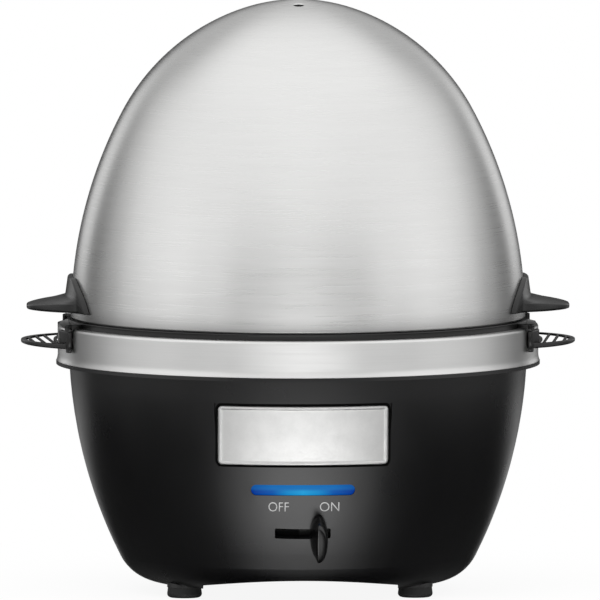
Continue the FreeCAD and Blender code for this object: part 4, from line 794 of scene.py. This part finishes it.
add_piece("lid_handle_moulded_right", lid_handle(1), grip_nylon, "lid",
          ["lid_handle_right"])
add_piece("lid_handle_moulded_left", lid_handle(-1), grip_nylon, "lid",
          ["lid_handle_left"])


# Back of the base

def gland():
    """Soft gland turned about the Y axis: two flanges that grip the wall, then a ribbed, tapered snout.

    The snout's radius falls evenly from 6.0 to 4.6 mm, and four grooves of 0.9 mm are cut into it.
    """
    out = 82.6 + 2.4 * np.arange(4)
    snout = 6.0 - 1.4 * (out - 81.5) / 11
    ribs = np.stack((
        np.stack((snout, out), axis=-1), np.stack((snout - 0.9, out + 0.15), axis=-1),
        np.stack((snout - 0.9, out + 1.0), axis=-1), np.stack((snout - 0.15, out + 1.15), axis=-1)), axis=1)
    corners = np.vstack((
        [(3.4, 63.5), (8.5, 63.5), (8.5, 66.0), (6.0, 66.0), (6.0, 79.0), (8.5, 79.0), (8.5, 81.5)],
        [(6.0, 81.6)], ribs.reshape(-1, 2), [(4.6, 92.5), (3.4, 92.5)]))
    points, faces = turned(rounded(corners, 0.35, 3), 64)
    return points[:, [0, 2, 1]] + (0.0, 0.0, GLAND_LEVEL), faces


add_piece("cord_gland_ribbed", gland(), gland_rubber, "base", ["cord_gland"])


# Camera and light

TILT = math.radians(4.4)
SIDEWAYS = math.radians(1.4)
DISTANCE = 10200.0
FIELD = 231.4
AIM = (0.77, 0.0, 112.3)
look = Vector((math.cos(TILT) * math.sin(SIDEWAYS), math.cos(TILT) * math.cos(SIDEWAYS), -math.sin(TILT)))
camera = bpy.data.objects.new("camera", bpy.data.cameras.new("camera"))
bpy.context.scene.collection.objects.link(camera)
camera.data.sensor_width = 36.0
camera.data.lens = 36.0 * DISTANCE / FIELD
camera.data.clip_start = 1.0
camera.data.clip_end = 100.0
camera.location = Vector(AIM) * MM - look * DISTANCE * MM
camera.rotation_mode = "QUATERNION"
camera.rotation_quaternion = look.to_track_quat("-Z", "Y")
bpy.context.scene.camera = camera


def studio_world():
    """White behind the object, even light for plain surfaces, and a photographer's tent for reflections.

    A reflection reads ramps over the distance round from the front, in shares of half a turn: one for the
    sky, one for the horizon and one for the lit table, mixed by the height of its direction. Behind the
    object the horizon gives way to a dark backdrop, which is bright below it and at both sides above it,
    so that the steel's outermost edges are drawn.
    """
    world = bpy.data.worlds.new("studio")
    bpy.context.scene.world = world
    world.use_nodes = True
    world.cycles.sampling_method = "NONE"
    tree = world.node_tree
    tree.nodes.clear()
    way = add(tree, "ShaderNodeTexCoord").outputs["Generated"]
    parts = add(tree, "ShaderNodeSeparateXYZ", feeds={"Vector": way})
    front = add(tree, "ShaderNodeMath", {"operation": "MULTIPLY"}, {0: parts.outputs["Y"], 1: -1.0})
    angle = add(tree, "ShaderNodeMath", {"operation": "ARCTAN2"},
                {0: parts.outputs["X"], 1: front.outputs["Value"]})
    away = add(tree, "ShaderNodeMath", {"operation": "ABSOLUTE"}, {0: angle.outputs["Value"]})
    share = add(tree, "ShaderNodeMath", {"operation": "DIVIDE"},
                {0: away.outputs["Value"], 1: math.pi}).outputs["Value"]
    sky = ramp(tree, share, [
        (0.0, grey(1.0)), (0.4, grey(0.96)), (0.57, grey(0.92)), (0.64, grey(0.82)), (0.7, grey(0.7)),
        (0.78, grey(0.46)), (0.88, grey(0.52)), (1.0, grey(0.52))], "EASE")
    horizon = ramp(tree, share, [
        (0.0, grey(0.55)), (0.04, grey(0.53)), (0.095, grey(0.41)), (0.16, grey(0.47)), (0.26, grey(0.93)),
        (0.38, grey(1.12)), (0.47, grey(1.0)), (0.54, grey(0.8)), (0.63, grey(0.42)), (0.72, grey(0.18)),
        (0.85, grey(0.12))], "EASE")
    behind = add(tree, "ShaderNodeMapRange", {"interpolation_type": "SMOOTHSTEP"}, {
        "Value": share, "From Min": 0.74, "From Max": 0.82})
    level = add(tree, "ShaderNodeMapRange", feeds={
        "Value": parts.outputs["Z"], "From Min": -0.2, "From Max": 0.2})
    edge = ramp(tree, level.outputs["Result"], [
        (0.1, grey(1.1)), (0.28, grey(0.05))], "EASE")
    rim = ramp(tree, share, [
        (0.74, grey(0.12)), (0.81, grey(0.82)), (0.86, grey(0.78)), (0.93, grey(0.03))], "EASE")
    raised = add(tree, "ShaderNodeMapRange", {"interpolation_type": "SMOOTHSTEP"}, {
        "Value": level.outputs["Result"], "From Min": 0.35, "From Max": 0.45})
    edge = add(tree, "ShaderNodeMix", {"data_type": "RGBA"}, {
        "Factor": raised.outputs["Result"], 6: edge, 7: rim}).outputs[2]
    horizon = add(tree, "ShaderNodeMix", {"data_type": "RGBA"}, {
        "Factor": behind.outputs["Result"], 6: horizon, 7: edge}).outputs[2]
    pool = ramp(tree, share, [
        (0.0, grey(1.0)), (0.1, grey(0.88)), (0.2, grey(0.4)), (0.3, grey(0.04)), (0.45, grey(0.015)),
        (0.8, grey(0.02)), (0.95, grey(0.03))], "EASE")
    height = parts.outputs["Z"]
    depth = add(tree, "ShaderNodeMath", {"operation": "MULTIPLY"}, {0: height, 1: -1.0}).outputs["Value"]
    table = ramp(tree, depth, [
        (0.1, grey(0.2)), (0.24, grey(0.14)), (0.36, grey(0.45)), (0.6, grey(1.0)), (0.75, grey(0.98)),
        (0.81, grey(0.2)), (0.88, grey(0.1)), (1.0, grey(0.07))], "EASE")
    lit = add(tree, "ShaderNodeVectorMath", {"operation": "MULTIPLY"}, {0: pool, 1: table})
    lit = add(tree, "ShaderNodeVectorMath", {"operation": "SCALE"}, {0: lit.outputs["Vector"], "Scale": 3.6})
    below = add(tree, "ShaderNodeMapRange", {"interpolation_type": "SMOOTHSTEP"}, {
        "Value": depth, "From Min": 0.09, "From Max": 0.23})
    above = add(tree, "ShaderNodeMapRange", {"interpolation_type": "SMOOTHSTEP"}, {
        "Value": height, "From Min": 0.05, "From Max": 0.45})
    overhead = add(tree, "ShaderNodeMapRange", {"interpolation_type": "SMOOTHSTEP"}, {
        "Value": height, "From Min": 0.6, "From Max": 0.92})
    upper = add(tree, "ShaderNodeMix", {"data_type": "RGBA"},
                {"Factor": above.outputs["Result"], 6: horizon, 7: sky})
    upper = add(tree, "ShaderNodeMix", {"data_type": "RGBA"},
                {"Factor": overhead.outputs["Result"], 6: upper.outputs[2], 7: grey(1.04)})
    whole = add(tree, "ShaderNodeMix", {"data_type": "RGBA"},
                {"Factor": below.outputs["Result"], 6: upper.outputs[2], 7: lit.outputs["Vector"]})
    rays = add(tree, "ShaderNodeLightPath")
    reflected = add(tree, "ShaderNodeMath", {"operation": "MAXIMUM"},
                    {0: rays.outputs["Is Glossy Ray"], 1: rays.outputs["Is Transmission Ray"]})
    plain = add(tree, "ShaderNodeMix", {"data_type": "RGBA"},
                {"Factor": reflected.outputs["Value"], 6: grey(0.75), 7: whole.outputs[2]})
    shown = add(tree, "ShaderNodeMix", {"data_type": "RGBA"},
                {"Factor": rays.outputs["Is Camera Ray"], 6: plain.outputs[2], 7: grey(1.0)})
    background = add(tree, "ShaderNodeBackground", feeds={"Color": shown.outputs[2], "Strength": 1.0})
    output = add(tree, "ShaderNodeOutputWorld")
    tree.links.new(background.outputs["Background"], output.inputs["Surface"])


studio_world()


def soft_lamp(name, place, aim, size, power):
    """A square soft box that lights plain surfaces and stays out of reflections."""
    lamp = bpy.data.lights.new(name, "AREA")
    lamp.shape = "SQUARE"
    lamp.size = size
    lamp.energy = power
    made = bpy.data.objects.new(name, lamp)
    bpy.context.scene.collection.objects.link(made)
    made.location = place
    made.rotation_mode = "QUATERNION"
    made.rotation_quaternion = (Vector(aim) - Vector(place)).to_track_quat("-Z", "Y")
    made.visible_glossy = False
    made.visible_camera = False


soft_lamp("key_softbox", (-0.5, -0.9, 1.2), (0, 0, 0.1), 0.9, 9.0)
soft_lamp("fill_softbox", (0.8, -0.6, 0.9), (0, 0, 0.1), 0.9, 4.0)


def pale_floor():
    """A wide square floor at the feet, plain and pale, that takes the object's shadow.

    The camera sees it as white paper: the share of plain white in what its rays read rises from 0.91 at
    40 mm from the middle to 1 at 230 mm, so that only the shadow under the object is left.
    """
    reach = 40000.0
    points = np.array([(-reach, -reach, 0), (reach, -reach, 0), (reach, reach, 0), (-reach, reach, 0)], float)
    mesh = bpy.data.meshes.new("floor")
    mesh.from_pydata((points * MM).tolist(), [], [(0, 1, 2, 3)])
    material, tree, output = new_material("paper_white_matte")
    place = add(tree, "ShaderNodeTexCoord").outputs["Object"]
    away = add(tree, "ShaderNodeVectorMath", {"operation": "LENGTH"}, {0: place})
    fade = add(tree, "ShaderNodeMapRange", {"interpolation_type": "SMOOTHSTEP"}, {
        "Value": away.outputs["Value"], "From Min": 40 * MM, "From Max": 230 * MM,
        "To Min": 0.91, "To Max": 1.0})
    rays = add(tree, "ShaderNodeLightPath")
    seen = add(tree, "ShaderNodeMath", {"operation": "MULTIPLY"},
               {0: fade.outputs["Result"], 1: rays.outputs["Is Camera Ray"]})
    paper = add(tree, "ShaderNodeBsdfDiffuse", feeds={"Color": linear("f6f6f6")})
    white = add(tree, "ShaderNodeEmission", feeds={"Color": grey(1.0), "Strength": 1.0})
    shader = add(tree, "ShaderNodeMixShader", feeds={
        0: seen.outputs["Value"], 1: paper.outputs["BSDF"], 2: white.outputs["Emission"]})
    tree.links.new(shader.outputs["Shader"], output.inputs["Surface"])
    mesh.materials.append(material)
    floor = bpy.data.objects.new("floor", mesh)
    bpy.context.scene.collection.objects.link(floor)
    floor.visible_glossy = False


pale_floor()

bpy.context.scene.view_settings.view_transform = "Standard"
